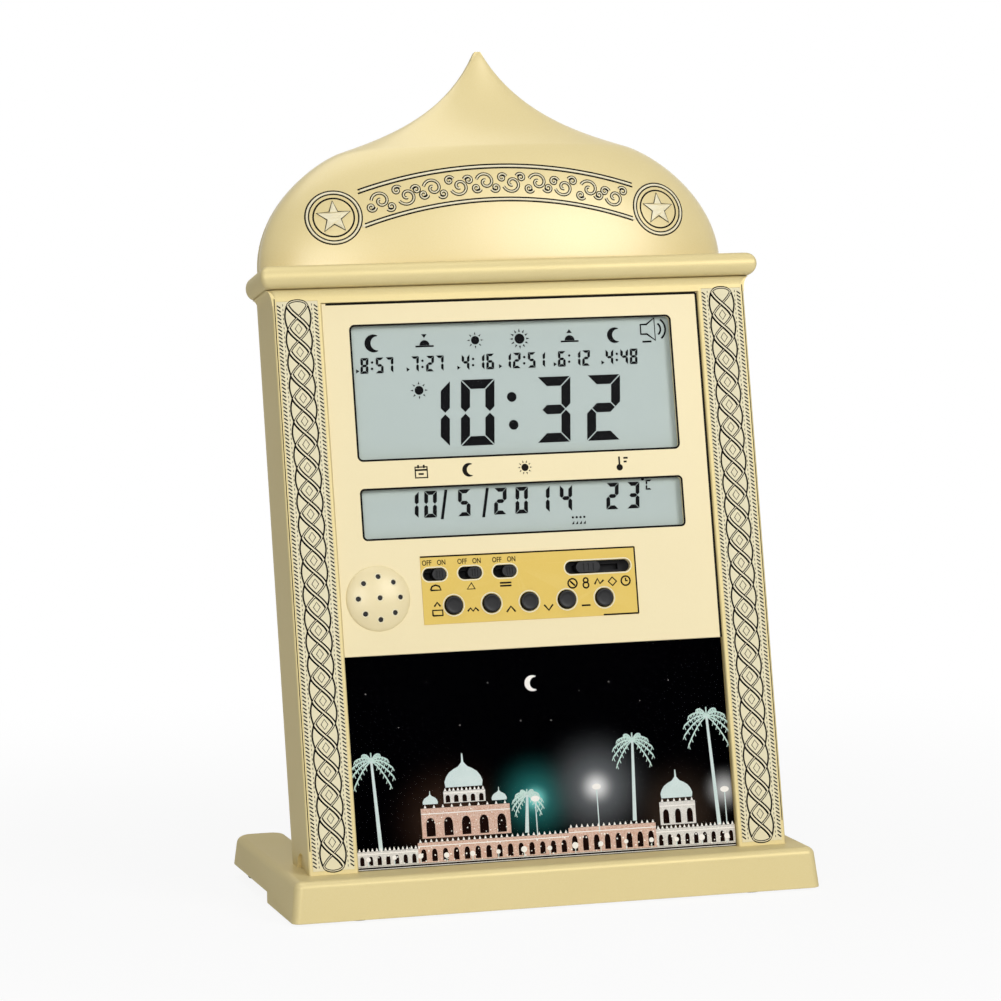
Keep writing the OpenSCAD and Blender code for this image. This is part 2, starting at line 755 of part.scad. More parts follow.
module back_cover() {
    color(gold) lean() difference() {
        union() {
            difference() {
                slab_y(front_d, case_d) polygon(case_outline(0));
                slab_y(front_d - 1, cover_in) polygon(case_outline(cover_rim));
            }
            // Bosses carry the door's hinge pins
            for (side = [-1, 1])
                span([side * (door_w / 2 + 2) - 1.6, cover_in - 1.4, door_z - 1.6],
                    [side * (door_w / 2 + 2) + 1.6, cover_in + eps, door_z + 3.6]);
        }
        span([-door_w / 2 - door_gap, front_d - 1, door_z - door_gap],
            [door_w / 2 + door_gap, case_d + 1, door_z + door_h + door_gap]);
        translate([-door_w / 2 - door_pin_l - 0.3, door_axis_y, door_axis_z]) rotate([0, 90, 0])
            cylinder(h = door_w + 2 * door_pin_l + 0.6, r = door_pin_r + pin_gap);
        for (side = [-1, 1], z = case_screw_z) {
            rod_y(side * column_x, z, front_d - 1, case_d + 1, screw_d + 0.4);
            rod_y(side * column_x, z, case_d - screw_head_t - 0.1, case_d + 1, screw_head_d + 0.6);
        }
        for (side = [-1, 1]) {
            rod_y(side * dome_screw_x, dome_screw_z, front_d - 1, case_d + 1, screw_d + 0.4);
            rod_y(side * dome_screw_x, dome_screw_z, case_d - screw_head_t - 0.1, case_d + 1,
                screw_head_d + 0.6);
        }
        // Window that the hanger plate closes from inside
        span([-hanger_window_w / 2, front_d - 1, hanger_z - hanger_window_h / 2],
            [hanger_window_w / 2, case_d + 1, hanger_z + hanger_window_h / 2]);
        for (side = [-1, 1])
            rod_y(side * rivet_x, hanger_z, front_d - 1, case_d + 1, rivet_d + 2 * screw_gap);
        // Sound and air slots behind the speaker and over the board
        for (i = [0 : 6]) stadium_y(grille_x, grille_z - 12 + 4 * i, 22, 1.8, front_d - 1, case_d + 1);
        for (i = [0 : 4]) stadium_y(50, 118 + 4 * i, 26, 1.8, front_d - 1, case_d + 1);
        span([jack_x - jack_w / 2 - seat_gap, front_d - 1, jack_z - jack_h / 2 - seat_gap],
            [jack_x + jack_w / 2 + seat_gap, case_d + 1, jack_z + jack_h / 2 + seat_gap]);
    }
}

// Steel plate with a keyhole for a screw in the wall
module hanger_plate() {
    y0 = cover_in - hanger_t;
    w = hanger_window_w / 2 + hanger_over;
    h = hanger_window_h / 2 + hanger_over;
    slot_top = keyhole_z + keyhole_slot_l;
    color(steel) lean() difference() {
        span([-w, y0, hanger_z - h], [w, cover_in, hanger_z + h]);
        rod_y(0, keyhole_z, y0 - 1, cover_in + 1, 2 * keyhole_head_r);
        rod_y(0, slot_top, y0 - 1, cover_in + 1, 2 * keyhole_slot_r);
        span([-keyhole_slot_r, y0 - 1, keyhole_z], [keyhole_slot_r, cover_in + 1, slot_top]);
        for (side = [-1, 1])
            rod_y(side * rivet_x, hanger_z, y0 - 1, cover_in + 1, rivet_d + 2 * screw_gap);
    }
}

module hanger_rivets() {
    y0 = cover_in - hanger_t;
    color(steel) lean() for (side = [-1, 1]) {
        rod_y(side * rivet_x, hanger_z, y0 - eps, case_d + eps, rivet_d);
        rod_y(side * rivet_x, hanger_z, y0 - rivet_head_t, y0, rivet_head_d);
        rod_y(side * rivet_x, hanger_z, case_d, case_d + rivet_head_t, rivet_head_d);
    }
}

module battery_box() {
    half = box_in_l / 2;
    color(gold) lean() difference() {
        span([-half - box_wall, box_in_y - box_wall, box_z - box_wall],
            [half + box_wall, cover_in - 0.6, box_z + box_in_h + box_wall]);
        span([-half, box_in_y, box_z], [half, case_d, box_z + box_in_h]);
    }
    color(gold) lean() for (side = [-1, 1])
        span([side * (half + box_wall + 2) - 2 - eps, cover_in - 8, box_z + box_in_h / 2 - 4],
            [side * (half + box_wall + 2) + 2, cover_in, box_z + box_in_h / 2 + 4]);
}

function cell_z(i) = box_z + 0.6 + cell_d / 2 + i * (cell_d + cell_gap);

module battery_cells() {
    half = box_in_l / 2;
    color([0.75, 0.55, 0.2]) lean() for (i = [0 : cell_count - 1]) {
        flip = i % 2;
        low = flip ? -half + spring_l : -half + plate_l;
        body_l = cell_l - 1.2;
        translate([low + (flip ? 0 : 1.2), box_in_y + 0.1 + cell_d / 2, cell_z(i)]) rotate([0, 90, 0]) {
            cylinder(h = body_l, d = cell_d - 0.1);
            translate([0, 0, flip ? body_l : -1.2]) cylinder(h = 1.2, d = 5);
        }
    }
}

module battery_springs() {
    half = box_in_l / 2;
    color(steel) lean() for (i = [0 : cell_count - 1]) {
        flip = i % 2;
        x = flip ? -half : half;
        out = flip ? 1 : -1;
        y = box_in_y + 0.1 + cell_d / 2;
        translate([x, y, cell_z(i)]) rotate([0, out * 90, 0]) {
            cylinder(h = 0.4, d = 11);
            cylinder(h = spring_l, d1 = 8, d2 = 5);
        }
    }
}

module battery_plates() {
    half = box_in_l / 2;
    color(steel) lean() for (i = [0 : cell_count - 1]) {
        flip = i % 2;
        x = flip ? half - plate_l : -half;
        span([x, box_in_y + 2, cell_z(i) - 5], [x + plate_l, box_in_y + 12, cell_z(i) + 5]);
    }
}

module battery_door() {
    color(gold) lean() {
        difference() {
            union() {
                span([-door_w / 2, case_d - door_t, door_axis_z], [door_w / 2, case_d, door_z + door_h]);
                translate([-door_w / 2, door_axis_y, door_axis_z]) rotate([0, 90, 0])
                    cylinder(h = door_w, d = door_t);
            }
            // Ribbed finger grip
            for (i = [0 : 4])
                span([-8, case_d - 0.5, door_z + door_h - 9 + 1.6 * i],
                    [8, case_d + 1, door_z + door_h - 8.2 + 1.6 * i]);
        }
        translate([-door_w / 2 - door_pin_l, door_axis_y, door_axis_z]) rotate([0, 90, 0])
            cylinder(h = door_w + 2 * door_pin_l, r = door_pin_r);
    }
}

// Two leads from the battery box and one from the jack, all to the board's back
module power_leads() {
    side = box_in_l / 2 + box_wall;
    y = box_in_y + 4;
    z = board_bottom + 8;
    lead_x = jack_x + 2;
    jack_y = case_d - jack_d;
    color([0.75, 0.1, 0.1]) lean() {
        for (i = [0, 1]) {
            z0 = box_z + box_in_h - 13 + 8 * i;
            x = side + 13 - 6 * i;
            wire([[side + lead_gap, y, z0], [side + 12, y, z0], [x, board_back + 12, z],
                [x, board_back + lead_gap, z]], 1);
        }
        wire([[lead_x, jack_y - lead_gap, jack_z], [lead_x, jack_y - 9, jack_z],
            [lead_x, board_back + 12, z], [lead_x, board_back + lead_gap, z]], 1);
    }
}

module dc_jack() {
    color(soft_black) lean() {
        difference() {
            span([jack_x - jack_w / 2, case_d - jack_d, jack_z - jack_h / 2],
                [jack_x + jack_w / 2, case_d, jack_z + jack_h / 2]);
            rod_y(jack_x, jack_z, case_d - jack_d + 2, case_d + 1, 2 * jack_bore_r);
        }
        rod_y(jack_x, jack_z, case_d - jack_d + 1, case_d - 1, 2 * jack_pin_r);
    }
}

module case_screws() {
    seat = case_d - screw_head_t - 0.1;
    color(steel) lean() {
        for (side = [-1, 1], z = case_screw_z)
            screw_y(side * column_x, z, seat, 12, screw_d, screw_head_d, screw_head_t);
        for (side = [-1, 1])
            screw_y(side * dome_screw_x, dome_screw_z, seat, 10, screw_d, screw_head_d, screw_head_t);
    }
}

module board_screws() {
    color(steel) lean() for (p = board_screw_places)
        screw_y(p[0] * board_screw_x, p[1], board_back, board_screw_l, board_screw_d, 3.6, 1.2);
}

// ---- stand ----

// Plan of the stand: cross bar and two legs with round ends
module stand_plan(inset) {
    corner = 4;
    w = 2 * (stand_half - inset);
    front = stand_front + inset;
    rear = bar_rear - inset;
    translate([0, (front + rear) / 2]) rounded(w, rear - front, corner - inset / 2);
    for (side = [-1, 1]) translate([side * leg_x, 0]) {
        r = leg_r - inset;
        translate([-r, bar_rear - 8]) square([2 * r, leg_end_y - bar_rear + 8]);
        translate([0, leg_end_y]) circle(r);
    }
}

// One side of the stand's outline as [distance in from the outside, height], with a round top edge
function stand_edge() = concat([[0, 0]], [for (i = [0 : 6]) let(a = 90 * i / 6)
    [stand_draft + edge_r * (1 - cos(a)), stand_h - edge_r + edge_r * sin(a)]]);

module stand_body() {
    edge = stand_edge();
    across = concat([for (p = edge) [stand_half - p[0], p[1]]],
        [for (i = [len(edge) - 1 : -1 : 0]) [-stand_half + edge[i][0], edge[i][1]]]);
    along = concat([for (p = edge) [stand_front + p[0], p[1]]], [[stand_d, stand_h], [stand_d, 0]]);
    color(gold) difference() {
        intersection() {
            linear_extrude(stand_h + 1) stand_plan(0);
            slab_y(-stand_d, stand_d) polygon(across);
            translate([-stand_w, 0, 0]) rotate([90, 0, 90]) linear_extrude(2 * stand_w) polygon(along);
        }
        // Underside: the bar just clears the table on its pads, the legs on their tall feet
        span([-stand_w, -stand_d, -1], [stand_w, stand_d, bar_bottom]);
        span([-stand_w, bar_rear, -1], [stand_w, stand_d, leg_bottom]);
        // Hollow under the bar, up to the floor of the case's pocket
        span([-stand_half + stand_wall + stand_draft, stand_front + stand_wall + stand_draft, -1],
            [stand_half - stand_wall - stand_draft, bar_rear - stand_wall, cavity_h]);
        // Rebate for the bottom plate
        span([-stand_half + 2, stand_plate_front, -1],
            [stand_half - 2, bar_rear - 1.6, bar_bottom + plate_t]);
        for (side = [-1, 1]) translate([side * leg_x, leg_end_y, 0])
            cylinder(h = leg_bottom + 2, d = foot_d + 2 * seat_gap);
        lean() span([-case_half - 0.3, -0.3, 0], [case_half + 0.3, case_d + 0.3, case_h]);
        for (side = [-1, 1]) lean() translate([side * case_stand_x, case_stand_y, 0]) {
            translate([0, 0, -20]) cylinder(h = 21, d = screw_d + 0.6);
            translate([0, 0, -20]) cylinder(h = 20 - case_stand_seat, d = screw_head_d + 1);
        }
        for (side = [-1, 1], y = plate_screw_y) translate([side * plate_screw_x, y, 0])
            cylinder(h = cavity_h + 1, d = screw_d + 2 * screw_gap);
    }
    // Bosses for the bottom plate's screws
    plate_top = bar_bottom + plate_t;
    color(gold) for (side = [-1, 1], y = plate_screw_y) translate([side * plate_screw_x, y, 0])
        difference() {
            translate([0, 0, plate_top]) cylinder(h = cavity_h - plate_top + eps, d = plate_boss_d);
            cylinder(h = cavity_h + 1, d = screw_d + 2 * screw_gap);
        }
}

module stand_plate() {
    color(soft_black) difference() {
        span([-stand_half + 2 + seat_gap, stand_plate_front + seat_gap, bar_bottom],
            [stand_half - 2 - seat_gap, bar_rear - 1.6 - seat_gap, bar_bottom + plate_t]);
        for (side = [-1, 1], y = plate_screw_y) translate([side * plate_screw_x, y, 0]) {
            cylinder(h = 10, d = screw_d + 0.4);
            cylinder(h = bar_bottom + 0.9, d = screw_head_d + 0.6);
        }
        for (side = [-1, 1]) translate([side * front_foot_x, front_foot_y, 0])
            cylinder(h = bar_bottom + 0.6, d = front_foot_d + 2 * seat_gap);
    }
}

module stand_plate_screws() {
    seat = bar_bottom + 0.9;
    color(steel) for (side = [-1, 1], y = plate_screw_y) translate([side * plate_screw_x, y, 0]) {
        translate([0, 0, seat - 0.8]) cylinder(h = 0.8, d = screw_head_d);
        translate([0, 0, seat - eps]) cylinder(h = 5.6, d = screw_d);
    }
}

module case_stand_screws() {
    color(steel) lean() for (side = [-1, 1]) translate([side * case_stand_x, case_stand_y, 0]) {
        translate([0, 0, -case_stand_seat - screw_head_t]) cylinder(h = screw_head_t, d = screw_head_d);
        translate([0, 0, -case_stand_seat - eps]) cylinder(h = 10, d = screw_d);
    }
}

module rear_feet() {
    color(soft_black) for (side = [-1, 1]) translate([side * leg_x, leg_end_y, 0])
        cylinder(h = leg_bottom + 2, d = foot_d);
}

module front_feet() {
    color(soft_black) for (side = [-1, 1]) translate([side * front_foot_x, front_foot_y, 0])
        cylinder(h = bar_bottom + 0.6, d = front_foot_d);
}

front_frame();
dome_front();
cornice();
column_inlay_left();
column_inlay_right();
face_panel();
control_plate();
speaker_grille();
main_lcd_lens();
date_lcd_lens();
main_lcd_glass();
date_lcd_glass();
lcd_carrier();
zebra_strips();
main_board();
board_chips();
temperature_sensor();
tact_switches();
button_1();
button_2();
button_3();
button_4();
button_5();
switch_cans();
selector_can();
switch_knob_1();
switch_knob_2();
switch_knob_3();
selector_knob();
picture_lens();
picture_card();
speaker_basket();
speaker_cone();
speaker_magnet();
speaker_ring();
speaker_leads();
back_cover();
battery_box();
battery_door();
battery_cells();
battery_springs();
battery_plates();
power_leads();
dc_jack();
hanger_plate();
hanger_rivets();
case_screws();
board_screws();
stand_body();
stand_plate();
stand_plate_screws();
case_stand_screws();
rear_feet();
front_feet();
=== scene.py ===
"""Looks of the leaning table clock. Pieces are modelled in millimetres in the case's own upright
frame (X across, Y rearwards from the columns' front, Z up from the case's bottom edge), and
settle() leans them into the row frame, in metres. The stand is modelled upright on the table."""
import json
import math
import random
import bpy
from mathutils import Matrix, Vector


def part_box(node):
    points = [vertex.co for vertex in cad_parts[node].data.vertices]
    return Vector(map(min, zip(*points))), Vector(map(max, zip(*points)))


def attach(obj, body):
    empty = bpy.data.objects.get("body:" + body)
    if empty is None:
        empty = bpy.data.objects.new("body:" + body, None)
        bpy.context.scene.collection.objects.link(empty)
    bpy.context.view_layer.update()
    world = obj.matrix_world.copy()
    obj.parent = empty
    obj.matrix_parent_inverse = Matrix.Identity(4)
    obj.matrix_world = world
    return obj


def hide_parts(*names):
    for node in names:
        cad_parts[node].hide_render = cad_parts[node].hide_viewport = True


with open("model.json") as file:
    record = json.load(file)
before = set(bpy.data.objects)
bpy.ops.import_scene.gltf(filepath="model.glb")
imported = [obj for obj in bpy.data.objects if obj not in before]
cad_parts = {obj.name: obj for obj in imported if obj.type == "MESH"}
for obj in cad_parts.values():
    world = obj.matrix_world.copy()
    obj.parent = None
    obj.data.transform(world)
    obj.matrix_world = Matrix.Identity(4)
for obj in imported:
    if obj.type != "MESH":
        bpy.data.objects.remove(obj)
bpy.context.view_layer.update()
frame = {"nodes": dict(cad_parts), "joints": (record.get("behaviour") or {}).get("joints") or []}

# ---- places and sizes, in millimetres ----

MM = 0.001
PRESS = next(j for j in frame["joints"] if j["name"] == "button_1_press")
LEAN = math.atan2(-PRESS["axis"][2], PRESS["axis"][1])
STAND_LOW, STAND_HIGH = [Vector(c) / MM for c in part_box("stand_body")]
STAND_H = 16.0
CASE_BACK = 13.0
CASE_Y = STAND_LOW.y + CASE_BACK
IN_CASE = (Matrix.Scale(MM, 4) @ Matrix.Translation((0, CASE_Y, STAND_H))
           @ Matrix.Rotation(-LEAN, 4, "X"))
ON_TABLE = Matrix.Scale(MM, 4)
UPRIGHT = Matrix.Rotation(math.radians(90), 4, "X")

CASE_HALF, CASE_H, FRONT_D, CASE_D = 92.0, 214.0, 25.0, 29.5
COLUMN_W = 18.7
FACE_HALF = CASE_HALF - COLUMN_W
COLUMN_X = CASE_HALF - COLUMN_W / 2
FACE_Y, FACE_T, FACE_TOP = 1.2, 2.0, 211.6
CORNICE_TOP = 225.6
DOME_FOOT, DOME_H, DOME_BULGE = 91.0, 85.4, 20.5
WINDOW_X, WINDOW_W = -0.5, 124.6
MAIN_Z, MAIN_H = 152.1, 50.6
DATE_Z, DATE_H = 122.5, 18.6
PLATE_Z, PLATE_W, PLATE_H = 89.8, 83.4, 25.6
PICTURE_H = 79.4
BUTTON_X, BUTTON_Z, BUTTON_R = [-30.4 + 14.6 * i for i in range(5)], 96.6, 3.3
SWITCH_X, SWITCH_Z, SLOT_H = (-36.9, -23.3, -9.9), 108.4, 4.8
SLOTS = [(x, 9.2) for x in SWITCH_X] + [(26.3, 25.6)]
GRILLE_X, GRILLE_Z, GRILLE_R, GRILLE_RISE = -59.0, 100.5, 12.25, 2.6
LCD_Y = FACE_Y + FACE_T + 1.0
HANGER_Z = 178.5


# ---- modelling helpers ----

def object_mode():
    bpy.ops.object.mode_set(mode="OBJECT")


def deselect():
    if bpy.context.mode != "OBJECT":
        object_mode()
    bpy.ops.object.select_all(action="DESELECT")


def select_mesh():
    bpy.ops.mesh.select_all(action="SELECT")


def faces_out():
    bpy.ops.mesh.normals_make_consistent(inside=False)


def activate(piece):
    deselect()
    piece.select_set(True)
    bpy.context.view_layer.objects.active = piece


def new_object(name, data):
    item = bpy.data.objects.new(name, data)
    bpy.context.scene.collection.objects.link(item)
    return item


def added(name):
    piece = bpy.context.active_object
    piece.name = name
    bpy.ops.object.transform_apply(location=True, rotation=True, scale=True)
    return piece


def block(name, low, high):
    """A box from its low corner to its high corner."""
    deselect()
    low, high = Vector(low), Vector(high)
    bpy.ops.mesh.primitive_cube_add(size=1, location=(low + high) / 2)
    bpy.context.active_object.scale = high - low
    return added(name)


def rod(name, start, end, radius, sides=48):
    """A cylinder from start to end."""
    deselect()
    start, end = Vector(start), Vector(end)
    turn = (end - start).to_track_quat("Z", "Y").to_euler()
    bpy.ops.mesh.primitive_cylinder_add(vertices=sides, radius=radius, depth=(end - start).length,
                                        location=(start + end) / 2, rotation=turn)
    return added(name)


def peg(name, x, z, y0, y1, radius, sides=48):
    """A cylinder from front to back, from depth y0 to y1."""
    return rod(name, (x, y0, z), (x, y1, z), radius, sides)


def pick(piece, edges=None, faces=None, verts=None):
    """Enters edit mode with only the edges, faces or vertices that pass the test selected, or
    with all of it selected when no test is given."""
    activate(piece)
    mesh = piece.data
    mode = "EDGE" if edges else "FACE" if faces else "VERT"
    bpy.ops.object.mode_set(mode="EDIT")
    bpy.ops.mesh.select_mode(type=mode)
    bpy.ops.mesh.select_all(action="DESELECT")
    object_mode()
    if edges:
        for e in mesh.edges:
            e.select = bool(edges(mesh.vertices[e.vertices[0]].co, mesh.vertices[e.vertices[1]].co))
    elif faces:
        for f in mesh.polygons:
            f.select = bool(faces(f.center, f.normal))
    else:
        for v in mesh.vertices:
            v.select = verts is None or bool(verts(v.co))
    bpy.ops.object.mode_set(mode="EDIT")


def round_edges(piece, test, width, segments=4):
    pick(piece, edges=test)
    bpy.ops.mesh.bevel(offset=width, segments=segments, profile=0.5, affect="EDGES")
    object_mode()


def along_y(a, b):
    """True for an edge from a to b that runs from front to back."""
    return abs(a.x - b.x) < 0.01 and abs(a.z - b.z) < 0.01


def soften(piece, width, segments=2, angle=30):
    """Rounds every sharp edge a little."""
    activate(piece)
    bevel = piece.modifiers.new("soften", "BEVEL")
    bevel.width = width
    bevel.segments = segments
    bevel.limit_method = "ANGLE"
    bevel.angle_limit = math.radians(angle)
    bpy.ops.object.modifier_apply(modifier=bevel.name)


def combine(piece, tools, operation="DIFFERENCE"):
    """Cuts the tools out of the piece, or joins them to it, and removes them."""
    for tool in tools:
        activate(piece)
        step = piece.modifiers.new("combine", "BOOLEAN")
        step.operation = operation
        step.object = tool
        step.solver = "EXACT"
        bpy.ops.object.modifier_apply(modifier=step.name)
        bpy.data.objects.remove(tool)


def weld(piece, distance=0.0005, flatten=False):
    """Merges doubles and turns all faces outwards. Flatten also drops needless edges in flat
    faces."""
    pick(piece)
    bpy.ops.mesh.remove_doubles(threshold=distance)
    if flatten:
        bpy.ops.mesh.dissolve_limited(angle_limit=math.radians(0.5))
    faces_out()
    object_mode()


def join(name, pieces):
    activate(pieces[0])
    for piece in pieces[1:]:
        piece.select_set(True)
    if len(pieces) > 1:
        bpy.ops.object.join()
    pieces[0].name = name
    return pieces[0]


def copied(piece, name, shift):
    other = new_object(name, piece.data.copy())
    other.data.transform(Matrix.Translation(shift))
    return other


def rounded_block(name, low, high, radius, segments=5):
    """A box whose four edges along Y are rounded."""
    piece = block(name, low, high)
    round_edges(piece, along_y, radius, segments)
    return piece


def stadium(name, x, z, length, height, y0, y1):
    """A box with round ends, lying along X, from depth y0 to y1."""
    return rounded_block(name, (x - length / 2, y0, z - height / 2),
                         (x + length / 2, y1, z + height / 2), height / 2 * 0.999, 10)


def spun(name, points, steps, turn, center, axis):
    """A profile drawn from point to point and spun about an axis. It stays in edit mode."""
    deselect()
    bpy.ops.mesh.primitive_plane_add(size=1)
    piece = added(name)
    pick(piece)
    bpy.ops.mesh.merge(type="CENTER")
    bpy.ops.transform.translate(value=points[0])
    for here, there in zip(points, points[1:]):
        bpy.ops.mesh.extrude_region_move(TRANSFORM_OT_translate={"value": there - here})
    select_mesh()
    bpy.ops.mesh.spin(steps=steps, angle=math.radians(turn), center=center, axis=axis)
    select_mesh()
    bpy.ops.mesh.remove_doubles(threshold=0.01)
    select_mesh()
    return piece


def curve_mesh(name, paths, fill, closed, extrude=0.0, radius=0.0):
    """Turns paths of (x, z) points into a mesh in the X-Z plane about Y = 0."""
    data = bpy.data.curves.new(name, "CURVE")
    data.dimensions = "2D" if fill else "3D"
    data.fill_mode = "BOTH" if fill else "FULL"
    data.extrude = extrude
    data.bevel_depth = radius
    data.bevel_resolution = 1
    data.use_fill_caps = not fill
    for path in paths:
        spline = data.splines.new("POLY")
        spline.points.add(len(path) - 1)
        for point, (x, z) in zip(spline.points, path):
            point.co = (x, z, 0, 1)
        spline.use_cyclic_u = closed
    activate(new_object(name, data))
    bpy.ops.object.convert(target="MESH")
    piece = bpy.context.active_object
    piece.data.transform(UPRIGHT)
    weld(piece)
    return piece


def plates(name, outlines, y, thickness):
    """Flat shapes, their front face at depth y."""
    piece = curve_mesh(name, outlines, True, True, extrude=thickness / 2)
    piece.data.transform(Matrix.Translation((0, y + thickness / 2, 0)))
    return piece


def strokes(name, paths, width, rise, y, closed=False):
    """Half-sunk ridges of one width along the paths, standing out by rise from depth y."""
    piece = curve_mesh(name, paths, False, closed, radius=width / 2)
    piece.data.transform(Matrix.Translation((0, y, 0)) @ Matrix.Scale(2 * rise / width, 4, (0, 1, 0)))
    return piece


def settle(piece, material, body="case", replaces=(), place=IN_CASE, smooth=35):
    """Puts a finished piece in the row frame, paints it and makes it ride on its body."""
    deselect()
    piece.data.transform(place)
    activate(piece)
    if smooth:
        bpy.ops.object.shade_smooth_by_angle(angle=math.radians(smooth))
        even = piece.modifiers.new("even_shading", "WEIGHTED_NORMAL")
        even.keep_sharp = True
        bpy.ops.object.modifier_apply(modifier=even.name)
    piece.data.materials.clear()
    piece.data.materials.append(material)
    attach(piece, body)
    if replaces:
        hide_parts(*replaces)
    deselect()


def cosd(degrees):
    return math.cos(math.radians(degrees))


def sind(degrees):
    return math.sin(math.radians(degrees))


def moved(points, x, z):
    return [(x + px, z + pz) for px, pz in points]


def arc(cx, cz, radius, start, end, count):
    """Points on a circle in the X-Z plane, angles in degrees."""
    angles = [start + (end - start) * i / count for i in range(count + 1)]
    return [(cx + radius * cosd(a), cz + radius * sind(a)) for a in angles]


def ring(cx, cz, radius, count=40):
    return arc(cx, cz, radius, 0, 360 - 360 / count, count - 1)


# ---- node groups and materials ----

def new_group(name, inputs, outputs):
    group = bpy.data.node_groups.new(name, "ShaderNodeTree")
    for label, value in inputs:
        socket = group.interface.new_socket(label, in_out="INPUT", socket_type="NodeSocketFloat")
        socket.default_value = value
    for label in outputs:
        group.interface.new_socket(label, in_out="OUTPUT", socket_type="NodeSocketFloat")
    return group, group.nodes.new("NodeGroupInput"), group.nodes.new("NodeGroupOutput")


def feed(tree, node, inputs):
    """Fills a node's inputs: another node's output is linked, anything else is a set value."""
    for key, value in inputs.items():
        if isinstance(value, bpy.types.NodeSocket):
            tree.links.new(value, node.inputs[key])
        else:
            node.inputs[key].default_value = value


def add_node(tree, kind, inputs, **settings):
    node = tree.nodes.new("ShaderNode" + kind)
    for key, value in settings.items():
        setattr(node, key, value)
    feed(tree, node, inputs)
    return node


def object_place(tree):
    return add_node(tree, "TexCoord", {}).outputs["Object"]


def math_node(tree, operation, *values):
    return add_node(tree, "Math", dict(enumerate(values)), operation=operation).outputs[0]


def noise(tree, vector, scale, detail=2.0):
    inputs = {"Detail": detail, "Scale": scale, "Vector": vector}
    return add_node(tree, "TexNoise", inputs).outputs["Fac"]


def moulded_group():
    """Moulded, sprayed skin: slow tone drift, fine flake and orange peel."""
    group, ins, outs = new_group(
        "moulded_skin", [("Drift scale", 18.0), ("Flake scale", 2600.0), ("Peel scale", 420.0)],
        ["Drift", "Flake", "Peel"])
    where = object_place(group)
    feed(group, outs, {"Drift": noise(group, where, ins.outputs["Drift scale"]),
                       "Flake": noise(group, where, ins.outputs["Flake scale"], 0.0),
                       "Peel": noise(group, where, ins.outputs["Peel scale"], 1.0)})
    return group


def wear_group():
    """Rubbed edges and dusty corners from the surface's own curvature, broken up by noise."""
    group, ins, outs = new_group("edge_wear", [("Break-up scale", 160.0)], ["Edge", "Crevice"])
    bend = add_node(group, "NewGeometry", {}).outputs["Pointiness"]
    patch = noise(group, object_place(group), ins.outputs["Break-up scale"], 3.0)
    edge = math_node(group, "MULTIPLY", math_node(group, "SUBTRACT", bend, 0.53), 9.0)
    edge = math_node(group, "MULTIPLY", edge, math_node(group, "MULTIPLY", patch, 1.6))
    crevice = math_node(group, "MULTIPLY", math_node(group, "SUBTRACT", 0.47, bend), 9.0)
    feed(group, outs, {"Edge": add_node(group, "Clamp", {"Value": edge}).outputs[0],
                       "Crevice": add_node(group, "Clamp", {"Value": crevice}).outputs[0]})
    return group


MOULDED = moulded_group()
WEAR = wear_group()


def srgb(r, g, b):
    """A colour given as it looks, 0 to 255."""
    def line(v):
        v /= 255
        return v / 12.92 if v <= 0.04045 else ((v + 0.055) / 1.055) ** 2.4
    return (line(r), line(g), line(b), 1.0)


def blend_colour(tree, factor, first, second):
    inputs = {"Factor": factor, "A": first, "B": second}
    return add_node(tree, "Mix", inputs, data_type="RGBA").outputs["Result"]


def skin(name, colour, dark, pale, roughness, metallic=0.0, coat=0.0, peel=0.02, flake=0.0,
         rough_drift=0.1, drift_scale=18.0, peel_scale=420.0, wear=0.5, ior=1.3):
    """A moulded and finished surface: base tone that drifts towards dark, flakes and rubbed edges
    that go pale, corners that go dark, and a fine bump. Colours are given as they look."""
    material = bpy.data.materials.new(name)
    material.use_nodes = True
    tree = material.node_tree
    shader = tree.nodes["Principled BSDF"]
    scales = {"Drift scale": drift_scale, "Peel scale": peel_scale}
    surface = add_node(tree, "Group", scales, node_tree=MOULDED).outputs
    rubbed = add_node(tree, "Group", {}, node_tree=WEAR).outputs
    layers = [(surface["Drift"], 0.3, dark), (rubbed["Edge"], wear, pale),
              (rubbed["Crevice"], wear, dark)]
    if flake:
        layers.insert(1, (surface["Flake"], flake, pale))
    tone = srgb(*colour)
    for source, amount, other in layers:
        tone = blend_colour(tree, math_node(tree, "MULTIPLY", source, amount), tone, srgb(*other))
    rough = math_node(tree, "ADD", roughness - rough_drift / 2,
                      math_node(tree, "MULTIPLY", surface["Drift"], rough_drift))
    bump = add_node(tree, "Bump", {"Strength": peel, "Distance": 0.0004, "Height": surface["Peel"]})
    feed(tree, shader, {"Base Color": tone, "Roughness": rough, "Metallic": metallic, "IOR": ior,
                        "Coat Weight": coat, "Coat Roughness": 0.3, "Normal": bump.outputs["Normal"]})
    return material


CASE_GOLD = skin("case_gold", (224, 207, 152), (204, 184, 124), (240, 230, 196),
                 0.4, metallic=0.15, peel=0.08, flake=0.15, wear=0.0, ior=1.05)
DOME_GOLD = skin("dome_gold", (222, 204, 147), (208, 188, 126), (242, 232, 200),
                 0.4, metallic=0.08, coat=1.0, peel=0.06, flake=0.15, wear=0.0, ior=1.12)
FACE_GOLD = skin("face_gold", (234, 219, 174), (222, 204, 152), (244, 234, 204),
                 0.46, metallic=0.03, coat=0.5, peel=0.08, flake=0.15, wear=0.0)
RELIEF_GOLD = skin("relief_gold", (242, 234, 202), (216, 200, 154), (250, 244, 224),
                   0.45, peel=0.06, flake=0.15, wear=0.15)
COLUMN_GOLD = skin("column_gold", (230, 220, 182), (210, 196, 148), (242, 236, 212),
                   0.5, peel=0.12, flake=0.3, wear=0.15)
PLATE_GOLD = skin("plate_gold", (222, 190, 92), (204, 172, 76), (234, 210, 130),
                  0.45, metallic=0.04, peel=0.05, flake=0.2, wear=0.15)
